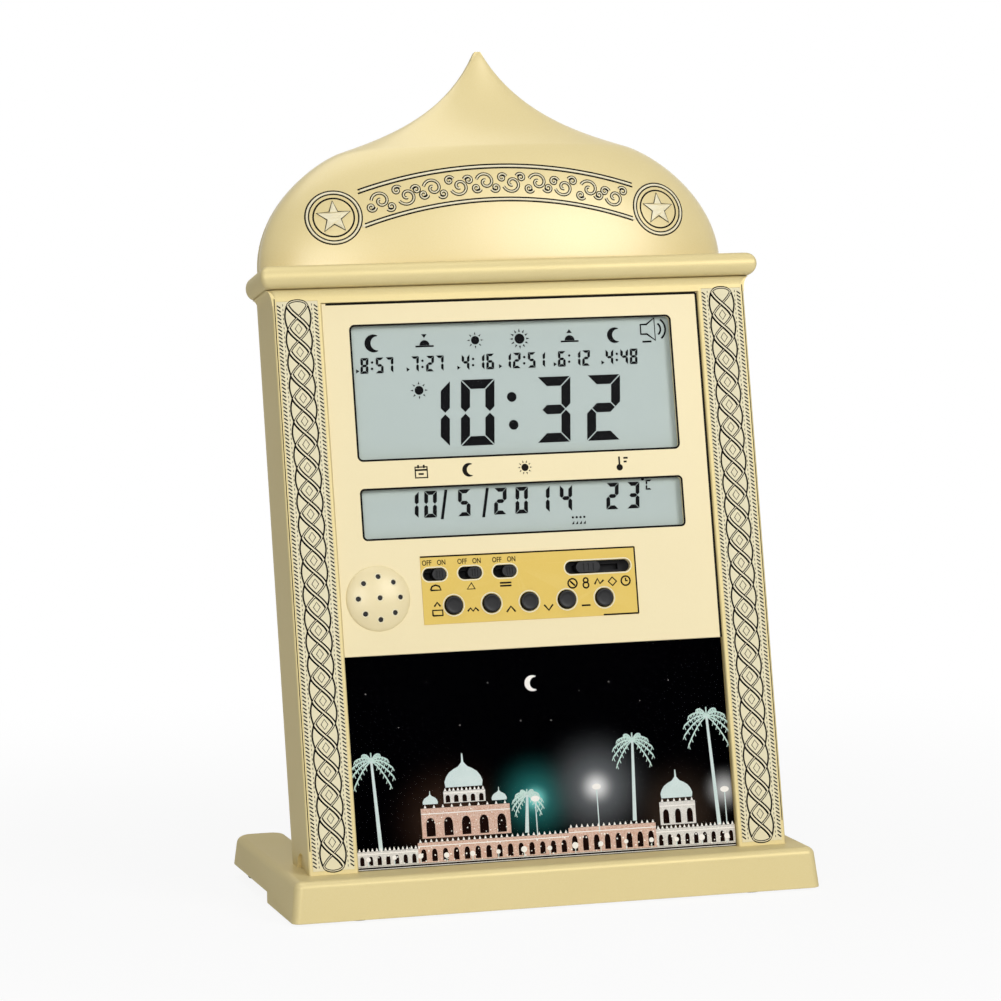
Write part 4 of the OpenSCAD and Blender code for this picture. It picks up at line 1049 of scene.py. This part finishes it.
def make_displays():
    """The two grey displays, their dark figures and marks, and the printed marks between them."""
    half = WINDOW_W / 2 + 2.4
    for name, z, h, nodes in (("main_display", MAIN_Z, MAIN_H, "main_lcd_glass"),
                              ("date_display", DATE_Z, DATE_H, "date_lcd_glass")):
        piece = block(name, (WINDOW_X - half, LCD_Y, z - 2.4), (WINDOW_X + half, LCD_Y + 2, z + h + 2.4))
        soften(piece, 0.15, 2)
        settle(piece, LCD_GREY, replaces=[nodes])
    y = LCD_Y - 0.12
    deep = Matrix.Translation((1.09, 0, 0.40))
    # Time of day
    shapes = []
    for char, x in zip("1032", (-41.0, -23.7, 6.0, 25.6)):
        shapes += figures(char, x, 156.0, 13.0, 24.9, 3.5, 13)
    shapes += [ring(-2.7, z, 1.85, 24) for z in (163.2, 173.8)]
    # Row of small times under their pictograms, each after a tick
    times = (("8:57", -60.4), ("7:27", -41.0), ("4:16", -21.4), ("12:51", -5.2), ("6:12", 16.2),
             ("4:48", 35.0))
    for text, x in times:
        shapes += figures(text, x, 184.6, 3.0, 5.9, 0.95, 3.75)
        shapes.append([(x - 1.6, 184.8), (x - 0.4, 185.6), (x - 1.6, 186.4)])
    shapes += icon_moon(-54.7, 195.9, 3.4) + icon_horizon(-35.1, 195.6, 3.5, False)
    shapes += icon_sun(-15.4, 195.8, 3.2) + icon_sun(1.9, 195.8, 3.9, 12)
    shapes += icon_horizon(21.5, 195.6, 3.5, True) + icon_moon(39.4, 195.9, 3.0)
    shapes += icon_sun(-38.4, 177.6, 3.4)
    # Date and temperature
    date_x = (-46.7, -39.7, -26.7, -12.7, -4.4, 4.1, 12.9, 31.2, 39.4)
    for char, x in zip("105201423", date_x):
        shapes += figures(char, x, 129.6, 4.8, 10.0, 1.45, 6)
    for x in (-33.4, -17.4):
        shapes.append([(x, 128.8), (x + 1.1, 128.8), (x + 3.3, 139.8), (x + 2.2, 139.8)])
    shapes += figures("C", 47.2, 136.4, 2.3, 3.8, 0.62, 3.0)
    shapes.append(ring(46.2, 140.6, 0.6, 10))
    for k in range(4):
        shapes.append(ring(17.8 + 1.5 * k, 127.2, 0.45, 8))
        shapes.append([(17.2 + 1.5 * k, 124.6), (18.2 + 1.5 * k, 124.6), (18.2 + 1.5 * k, 125.8)])
    marks = plates("display_figures", shapes, y, 0.1)
    marks.data.transform(deep)
    settle(marks, LCD_INK, smooth=0)
    # Speaker mark in the corner of the main display
    horn = [[(49.8, 195.9), (52.2, 195.9), (55.4, 193.4), (55.4, 202.0), (52.2, 199.6), (49.8, 199.6)]]
    waves = [arc(55.0, 197.7, 2.7, -52, 52, 8), arc(55.0, 197.7, 4.6, -52, 52, 8)]
    base = [[(50.2, 193.0), (53.8, 193.0)]]
    marks = [strokes("mark", waves + base, 0.7, 0.06, y), strokes("mark", horn, 0.7, 0.06, y, closed=True)]
    marks = join("display_speaker_mark", marks)
    marks.data.transform(deep)
    settle(marks, LCD_INK)
    make_face_marks()


def make_face_marks():
    """Printed pictograms between the windows: calendar, moon, sun and thermometer."""
    y = FACE_Y - 0.02
    z = 147.0
    closed = [moved([(-41.6, -2.2), (-37.0, -2.2), (-37.0, 1.8), (-41.6, 1.8)], 0, z)]
    lines = [moved(pair, 0, z) for pair in (
        [(-41.6, 0.7), (-37.0, 0.7)], [(-40.4, 1.4), (-40.4, 2.6)], [(-38.2, 1.4), (-38.2, 2.6)],
        [(-40.4, -0.8), (-38.4, -0.8)], [(37.8, -0.4), (37.8, 2.6)], [(39.5, 2.0), (41.2, 2.0)],
        [(39.5, 0.6), (40.7, 0.6)])]
    shapes = icon_moon(-20.9, z, 2.6) + icon_sun(0.8, z, 2.8, 10) + [ring(37.8, z - 1.5, 1.25, 14)]
    marks = [plates("mark", shapes, y - 0.04, 0.1), strokes("mark", lines, 0.7, 0.05, y),
             strokes("mark", closed, 0.66, 0.05, y, closed=True)]
    settle(join("face_marks", marks), INK_AND_SHADE)


# ---- picture ----

def print_colour(name, colour, dark, pale=None, flake=0.0, drift_scale=140.0):
    """A matt print with no gloss of its own; its flakes are small lights."""
    material = skin(name, colour, dark, pale or colour, 0.6, peel=0.02, flake=flake,
                    drift_scale=drift_scale, wear=0.0)
    material.node_tree.nodes["Principled BSDF"].inputs["Specular IOR Level"].default_value = 0.0
    return material


NIGHT = print_colour("night_card", (1, 1, 2), (0, 0, 0))
WARM_WALL = print_colour("print_warm_wall", (206, 142, 112), (92, 54, 44),
                         (255, 244, 230), 0.75, 260.0)
PALE_WALL = print_colour("print_pale_wall", (214, 206, 196), (96, 88, 90),
                         (255, 255, 250), 0.8, 300.0)
COOL_LIGHT = print_colour("print_cool_light", (214, 232, 228), (120, 168, 160),
                          (255, 255, 255), 0.4, 160.0)
LAMP_WHITE = print_colour("print_lamp", (255, 252, 246), (246, 236, 224))
PALM_LIGHT = print_colour("print_palm", (186, 226, 212), (90, 150, 136),
                          (255, 255, 255), 0.6, 220.0)
DOORWAY = print_colour("print_doorway", (30, 16, 12), (8, 4, 4))


def lamp_halos():
    """Glows on the night card, as (x, z, radius, colour)."""
    return [(-36.0, 16.0, 34.0, (0.050, 0.026, 0.016, 1)), (51.0, 14.0, 30.0, (0.04, 0.026, 0.018, 1)),
            (-4.0, 23.0, 24.0, (0.02, 0.17, 0.16, 1)), (20.0, 26.0, 30.0, (0.15, 0.16, 0.17, 1)),
            (-4.0, 23.0, 8.0, (0.25, 0.8, 0.75, 1)), (20.0, 26.0, 10.0, (0.85, 0.85, 0.85, 1)),
            (70.0, 22.0, 12.0, (0.5, 0.5, 0.5, 1))]


def light_the_card():
    """A soft halo round each lamp of the night card."""
    tree = NIGHT.node_tree
    shader = tree.nodes["Principled BSDF"]
    tone = shader.inputs["Base Color"].links[0].from_socket
    where = object_place(tree)
    halo_power = 2.4
    for x, z, radius, colour in lamp_halos():
        centre = IN_CASE @ Vector((x, FACE_Y + 1.0, z))
        away = add_node(tree, "VectorMath", {0: where, 1: centre}, operation="DISTANCE")
        near = eased(tree, away.outputs["Value"], 0.0, radius * MM, 1.0, 0.0)
        tone = blend_colour(tree, math_node(tree, "POWER", near, halo_power), tone, colour)
    feed(tree, shader, {"Base Color": tone})


def pointed_arch(x, z, w, h):
    """A pointed arch opening standing on z."""
    spring = z + h * 0.6
    side = [(w / 2 * cosd(a) ** 0.8, (h - h * 0.6) * sind(a)) for a in (0, 25, 50, 70)]
    left = moved([(-px, pz) for px, pz in side], x, spring)
    right = moved(reversed(side), x, spring)
    return [(x - w / 2, z)] + left + [(x, z + h)] + right + [(x + w / 2, z)]


def half_dome(x, z, w):
    """A small onion cupola on z, with its finial."""
    r = w / 2
    side = [(r * cosd(a) * (1.08 if 5 < a < 50 else 1.0), r * 1.1 * sind(a)) for a in range(0, 76, 15)]
    side += [(r * 0.06, r * 1.3), (r * 0.03, r * 1.75)]
    return moved(side, x, z) + moved([(-px, pz) for px, pz in reversed(side)], x, z)


def arcade(x0, x1, z, height, pitch):
    """A lit wall: its body, its dark arches, and the crest and cornice lights along its top."""
    count = round((x1 - x0) / pitch)
    places = [x0 + (x1 - x0) * (k + 0.5) / count for k in range(count)]
    body = [(x0, z), (x1, z), (x1, z + height), (x0, z + height)]
    arches = [pointed_arch(x, z + 0.06 * height, pitch * 0.5, height * 0.62) for x in places]
    crest = [[(x + s - 0.5, z + height + 0.1), (x + s + 0.5, z + height + 0.1), (x + s, z + height + 1.3)]
             for x in places for s in (-pitch / 4, pitch / 4)]
    string = [(x0, z + 0.8 * height), (x1, z + 0.8 * height), (x1, z + 0.8 * height + 0.35),
              (x0, z + 0.8 * height + 0.35)]
    return body, arches, crest + [string]


def palm(x, z, height, lean):
    """A date palm: its trunk as a plate, and its fronds and leaflets as lines."""
    top_x, top_z = x + lean, z + height
    reach = 4.0 + height * 0.13
    trunk = [(x - 0.75, z), (x + 0.75, z), (top_x + 0.45, top_z), (top_x - 0.45, top_z)]
    fronds, leaflets = [], []
    for k in range(11):
        a = math.radians(-34 + 24.8 * k)
        rib = []
        for i in range(7):
            t = i / 6
            rib.append((top_x + reach * math.cos(a) * t,
                        top_z + reach * (math.sin(a) * t * 0.95 - 0.6 * t * t)))
        fronds.append(rib)
        for px, pz in rib[2:]:
            leaflets.append([(px, pz), (px - 0.6 * math.cos(a), pz - 1.5)])
            leaflets.append([(px, pz), (px + 0.5 * math.cos(a), pz - 1.2)])
    return trunk, fronds, leaflets


def make_picture():
    """A made-up night garden: lit arcades, a domed pavilion and a kiosk, palms and lamps."""
    w = FACE_HALF - 0.3
    card = block("picture_night", (-w, FACE_Y + 1.05, 0.5), (w, FACE_Y + 1.35, PICTURE_H - 0.1))
    soften(card, 0.05, 1)
    settle(card, NIGHT, replaces=["picture_card"])
    light_the_card()
    rng = random.Random(7)
    low = 2.0
    warm, pale, doors, crests, posts, lamps = [], [], [], [], [], []
    for x0, x1, z, height, pitch, wall in ((-w, -50, low, 5.4, 3.2, pale), (-50, 8, low, 7.4, 4.1, warm),
                                           (8, 42, low, 9.2, 4.4, warm), (42, w, low, 6.6, 3.4, pale),
                                           (-48, -14, 10.9, 11.0, 6.8, warm), (44, 58, 10.0, 8.6, 4.6, pale),
                                           (-39, -23, 23.4, 4.4, 3.4, pale)):
        body, arches, crest = arcade(x0, x1, z, height, pitch)
        wall.append(body)
        doors += arches
        crests += crest
    domes = [half_dome(-31, 29.2, 14), half_dome(-44.2, 23.4, 5.6), half_dome(-17.8, 23.4, 5.6),
             half_dome(51, 20.0, 12)]
    balustrade = [[(-w, 0.7), (w, 0.7), (w, 1.0), (-w, 1.0)], [(-w, 1.6), (w, 1.6), (w, 1.9), (-w, 1.9)]]
    fronds, leaflets = [], []
    for tree in ((67, 8.8, 41, -2.0), (-64, 7.6, 33, -1.5), (34, 12.4, 30, 1.2), (-8, 10.6, 14, 1.0)):
        trunk, ribs, leaves = palm(*tree)
        posts.append(trunk)
        fronds += ribs
        leaflets += leaves
    for x, z in ((-4.0, 23.0), (20.0, 26.0), (70.0, 22.0)):
        posts.append([(x - 0.2, 9), (x + 0.2, 9), (x + 0.2, z), (x - 0.2, z)])
        lamps.append([(x + 1.7 * px, z + 1.1 * pz) for px, pz in ring(0, 0, 1, 18)])
    for k in range(15):
        x = -69 + 9.9 * k
        lamps.append(ring(x, 4.6 + rng.uniform(-0.3, 0.3), rng.uniform(0.8, 1.25), 14))
        posts.append([(x - 0.14, 1.9), (x + 0.14, 1.9), (x + 0.14, 3.6), (x - 0.14, 3.6)])
    lights = [ring(-71.0 + 1.19 * k, rng.uniform(2.2, 8.6), rng.uniform(0.16, 0.36), 6)
              for k in range(120)]
    lights += [ring(-46.5 + 0.88 * k, rng.uniform(12, 21), rng.uniform(0.14, 0.28), 6)
               for k in range(36)]
    stars = [ring(-66.0 + 11.7 * k, rng.uniform(50, 77), rng.uniform(0.1, 0.18), 6)
             for k in range(12)]
    front = FACE_Y + 1.05
    layers = (("picture_warm_walls", warm, WARM_WALL, 0.05), ("picture_pale_walls", pale, PALE_WALL, 0.06),
              ("picture_balustrade", balustrade, PALE_WALL, 0.09), ("picture_doorways", doors, DOORWAY, 0.08),
              ("picture_cupolas", domes, COOL_LIGHT, 0.07), ("picture_posts", posts, COOL_LIGHT, 0.1),
              ("picture_crests", crests, LAMP_WHITE, 0.12), ("picture_lights", lights, LAMP_WHITE, 0.13),
              ("picture_lamps", lamps + stars + icon_moon(-2, 66, 3.0), LAMP_WHITE, 0.15))
    for name, shapes, material, rise in layers:
        settle(plates(name, shapes, front - rise, rise), material, smooth=0)
    leaves = [strokes("fronds", fronds, 0.5, 0.1, front), strokes("leaflets", leaflets, 0.3, 0.08, front)]
    settle(join("picture_fronds", leaves), PALM_LIGHT)


# ---- back ----

BACK_SIDE = [(w, CORNICE_TOP + h) for w, h in dome_outline(20)]
JACK_X, JACK_Z, JACK_HALF = 56.0, 14.0, 4.5


def case_outline():
    """The case's outline with the dome's, as the back cover follows it."""
    right = [(CASE_HALF, 0.0), (CASE_HALF, CORNICE_TOP - 3.6)] + BACK_SIDE
    return right + [(-x, z) for x, z in reversed(right)]


def screw_places():
    places = [(side * COLUMN_X, z) for side in (-1, 1) for z in (12, CASE_H / 2, CASE_H - 12)]
    return places + [(side * 42.0, CORNICE_TOP + 22) for side in (-1, 1)]


def door_box():
    """The battery door's box in the case's frame."""
    cell_d, cell_l, cell_gap, spare, spring_l, plate_l = 14.2, 50.2, 0.6, 1.2, 4.0, 0.4
    walls, lip, bay_z = 2 * 1.4, 1.0, 22.0
    in_h = 3 * cell_d + 2 * cell_gap + spare
    width, height = cell_l + spring_l + plate_l + walls + lip, in_h + walls + lip
    z0 = bay_z + in_h / 2 - height / 2
    return -width / 2, z0, width / 2, z0 + height


def make_back():
    """A full plate with its openings, rounded along its outer edge, and what sits in it."""
    cover = plates("back_shell", [case_outline()], FRONT_D, CASE_D - FRONT_D)
    x0, z0, x1, z1 = door_box()
    deep0, deep1 = FRONT_D - 1, CASE_D + 1
    gap, longest_step = 0.4, 14
    tools = [block("bay", (x0 - gap, deep0, z0 - gap), (x1 + gap, deep1, z1 + gap))]
    tools += [stadium("vent", GRILLE_X, GRILLE_Z - 12 + 4 * k, 22, 1.8, deep0, deep1) for k in range(7)]
    tools += [stadium("vent", 50, 118 + 4 * k, 26, 1.8, deep0, deep1) for k in range(5)]
    tools += [peg("recess", x, z, CASE_D - 1.4, deep1, 2.8, 32) for x, z in screw_places()]
    tools.append(block("hanger_window", (-11, deep0, HANGER_Z - 15.5), (11, deep1, HANGER_Z + 15.5)))
    tools += [peg("rivet_hole", x, HANGER_Z, deep0, deep1, 1.3, 24) for x in (-14, 14)]
    jack = JACK_HALF + 0.15
    tools.append(block("jack_window", (JACK_X - jack, deep0, JACK_Z - jack),
                       (JACK_X + jack, deep1, JACK_Z + jack)))
    combine(cover, tools)
    round_edges(cover, lambda a, b: a.y > CASE_D - 0.01 and b.y > CASE_D - 0.01
                and on_outline(a) and on_outline(b)
                and ((a - b).length < longest_step or abs(a.x - b.x) < 0.01 or max(a.z, b.z) < 0.01), 1.0, 3)
    soften(cover, 0.2, 1, 40)
    settle(cover, CASE_GOLD, replaces=["back_cover"], smooth=30)
    make_screws()
    make_door()
    make_jack()


def on_outline(co):
    """True near the outer edge of the back cover."""
    if co.z < CORNICE_TOP - 3:
        return abs(co.x) > CASE_HALF - 0.05 or co.z < 0.05
    return min(math.hypot(abs(co.x) - x, co.z - z) for x, z in BACK_SIDE) < 0.3


def make_screws():
    """One cross-head screw, copied to each place."""
    first = peg("screw", 0, 0, CASE_D - 1.4, CASE_D - 0.1, 2.5, 32)
    combine(first, [block("cross", (-x, CASE_D - 0.9, -z), (x, CASE_D + 1, z))
                    for x, z in ((1.5, 0.28), (0.28, 1.5))])
    soften(first, 0.18, 2, 40)
    pieces = [copied(first, "screw", (x, 0, z)) for x, z in screw_places()]
    bpy.data.objects.remove(first)
    settle(join("back_screws", pieces), STEEL, replaces=["case_screws"])


def make_door():
    """The battery door with its grip ribs, arrow and hinge pins, all on the door's body."""
    x0, z0, x1, z1 = door_box()
    front = CASE_D - 2
    door = block("door_panel", (x0, front, z0 + 1), (x1, CASE_D, z1))
    round_edges(door, lambda a, b: along_y(a, b) and a.z > z0 + 5, 1.4)
    ribs = [stadium("rib", 0, z1 - 9 + 1.6 * k, 16, 0.8, CASE_D - 0.5, CASE_D + 1) for k in range(5)]
    arrow_points = [(-2.4, z1 - 12.4), (2.4, z1 - 12.4), (0, z1 - 15.4)]
    arrow = curve_mesh("arrow", [arrow_points], True, True, extrude=1.0)
    arrow.data.transform(Matrix.Translation((0, CASE_D + 0.6, 0)))
    combine(door, ribs + [arrow])
    axis_y, axis_z = CASE_D - 1, z0 + 1
    barrel = rod("barrel", (x0, axis_y, axis_z), (x1, axis_y, axis_z), 1.0, 24)
    pins = rod("pins", (x0 - 1.6, axis_y, axis_z), (x1 + 1.6, axis_y, axis_z), 0.7, 20)
    soften(door, 0.25, 2, 40)
    door = join("door_panel", [door, barrel, pins])
    settle(door, CASE_GOLD, body="battery_door", replaces=["battery_door"])


def make_jack():
    body = block("jack_body", (JACK_X - JACK_HALF, CASE_D - 12, JACK_Z - JACK_HALF),
                 (JACK_X + JACK_HALF, CASE_D, JACK_Z + JACK_HALF))
    combine(body, [peg("bore", JACK_X, JACK_Z, CASE_D - 10, CASE_D + 1, 2.75)])
    soften(body, 0.25, 2, 40)
    settle(body, BLACK_MATT, replaces=["dc_jack"])
    pin = peg("jack_pin", JACK_X, JACK_Z, CASE_D - 11, CASE_D - 1, 1.0, 24)
    soften(pin, 0.3, 3, 40)
    settle(pin, STEEL)


# ---- stand ----

def make_stand():
    """A cross bar with two rear legs in one piece, on two rubber feet."""
    half = STAND_HIGH.x
    front, rear = STAND_LOW.y, STAND_HIGH.y
    bar_rear = front + 46.5
    bottom, leg_low, leg_w, tip_r, foot_r, foot_h = 0.8, 5.0, 19.8, 6.5, 5.2, 6.5
    bar = block("stand", (-half, front, bottom), (half, bar_rear, STAND_H))
    round_edges(bar, lambda a, b: abs(a.z - b.z) > 5 and a.y < front + 0.1, 3.2, 6)
    leg_places = [side * (half - leg_w / 2) for side in (-1, 1)]
    legs = []
    for x in leg_places:
        leg = block("leg", (x - leg_w / 2, bar_rear - 6, leg_low), (x + leg_w / 2, rear, STAND_H))
        round_edges(leg, lambda a, b: abs(a.z - b.z) > 5 and a.y > rear - 0.1, tip_r, 10)
        legs.append(leg)
    combine(bar, legs, "UNION")
    weld(bar, 0.001, flatten=True)
    pick(bar, verts=lambda co: co.z > STAND_H - 0.01)
    bpy.ops.transform.resize(value=((half - 1.7) / half, 1, 1), center_override=(0, 0, 0))
    object_mode()
    pick(bar, verts=lambda co: co.z > STAND_H - 0.01 and co.y < front + 4)
    bpy.ops.transform.translate(value=(0, 1.5, 0))
    object_mode()
    round_edges(bar, lambda a, b: a.z > STAND_H - 0.01 and b.z > STAND_H - 0.01, 2.6, 6)
    soften(bar, 0.4, 2, 40)
    settle(bar, CASE_GOLD, replaces=["stand_body"], place=ON_TABLE, smooth=40)
    foot_y = rear - leg_w / 2
    rear_feet = join("rubber_feet", [rod("foot", (x, foot_y, 0), (x, foot_y, foot_h), foot_r)
                                     for x in leg_places])
    soften(rear_feet, 0.7, 3, 40)
    settle(rear_feet, RUBBER, replaces=["rear_feet"], place=ON_TABLE)


# ---- finishes of the CAD pieces that stay ----

def paint_frame():
    paints = {CASE_GOLD: ["battery_box"], COLUMN_GOLD: ["column_inlay_left", "column_inlay_right"],
              LENS: ["main_lcd_lens", "date_lcd_lens"], PICTURE_LENS: ["picture_lens"],
              BLACK_MATT: ["lcd_carrier", "speaker_ring", "stand_plate", "board_chips", "temperature_sensor",
                           "switch_cans", "selector_can", "speaker_cone", "speaker_magnet"],
              BOARD: ["main_board"], LEAD: ["power_leads", "speaker_leads"], CELL: ["battery_cells"],
              RUBBER: ["front_feet", "zebra_strips"],
              STEEL: ["tact_switches", "speaker_basket", "battery_springs", "battery_plates", "hanger_plate",
                      "hanger_rivets", "board_screws", "stand_plate_screws", "case_stand_screws"]}
    for material, names in paints.items():
        for name in names:
            node = frame["nodes"][name]
            node.data.materials.clear()
            node.data.materials.append(material)


add_camera()
add_studio()
make_case_front()
make_dome()
make_dome_relief()
make_cornice()
make_column_ornament(-1, "left")
make_column_ornament(1, "right")
make_face()
make_control_plate()
make_buttons()
make_knobs()
make_grille()
make_displays()
make_picture()
make_back()
make_stand()
paint_frame()
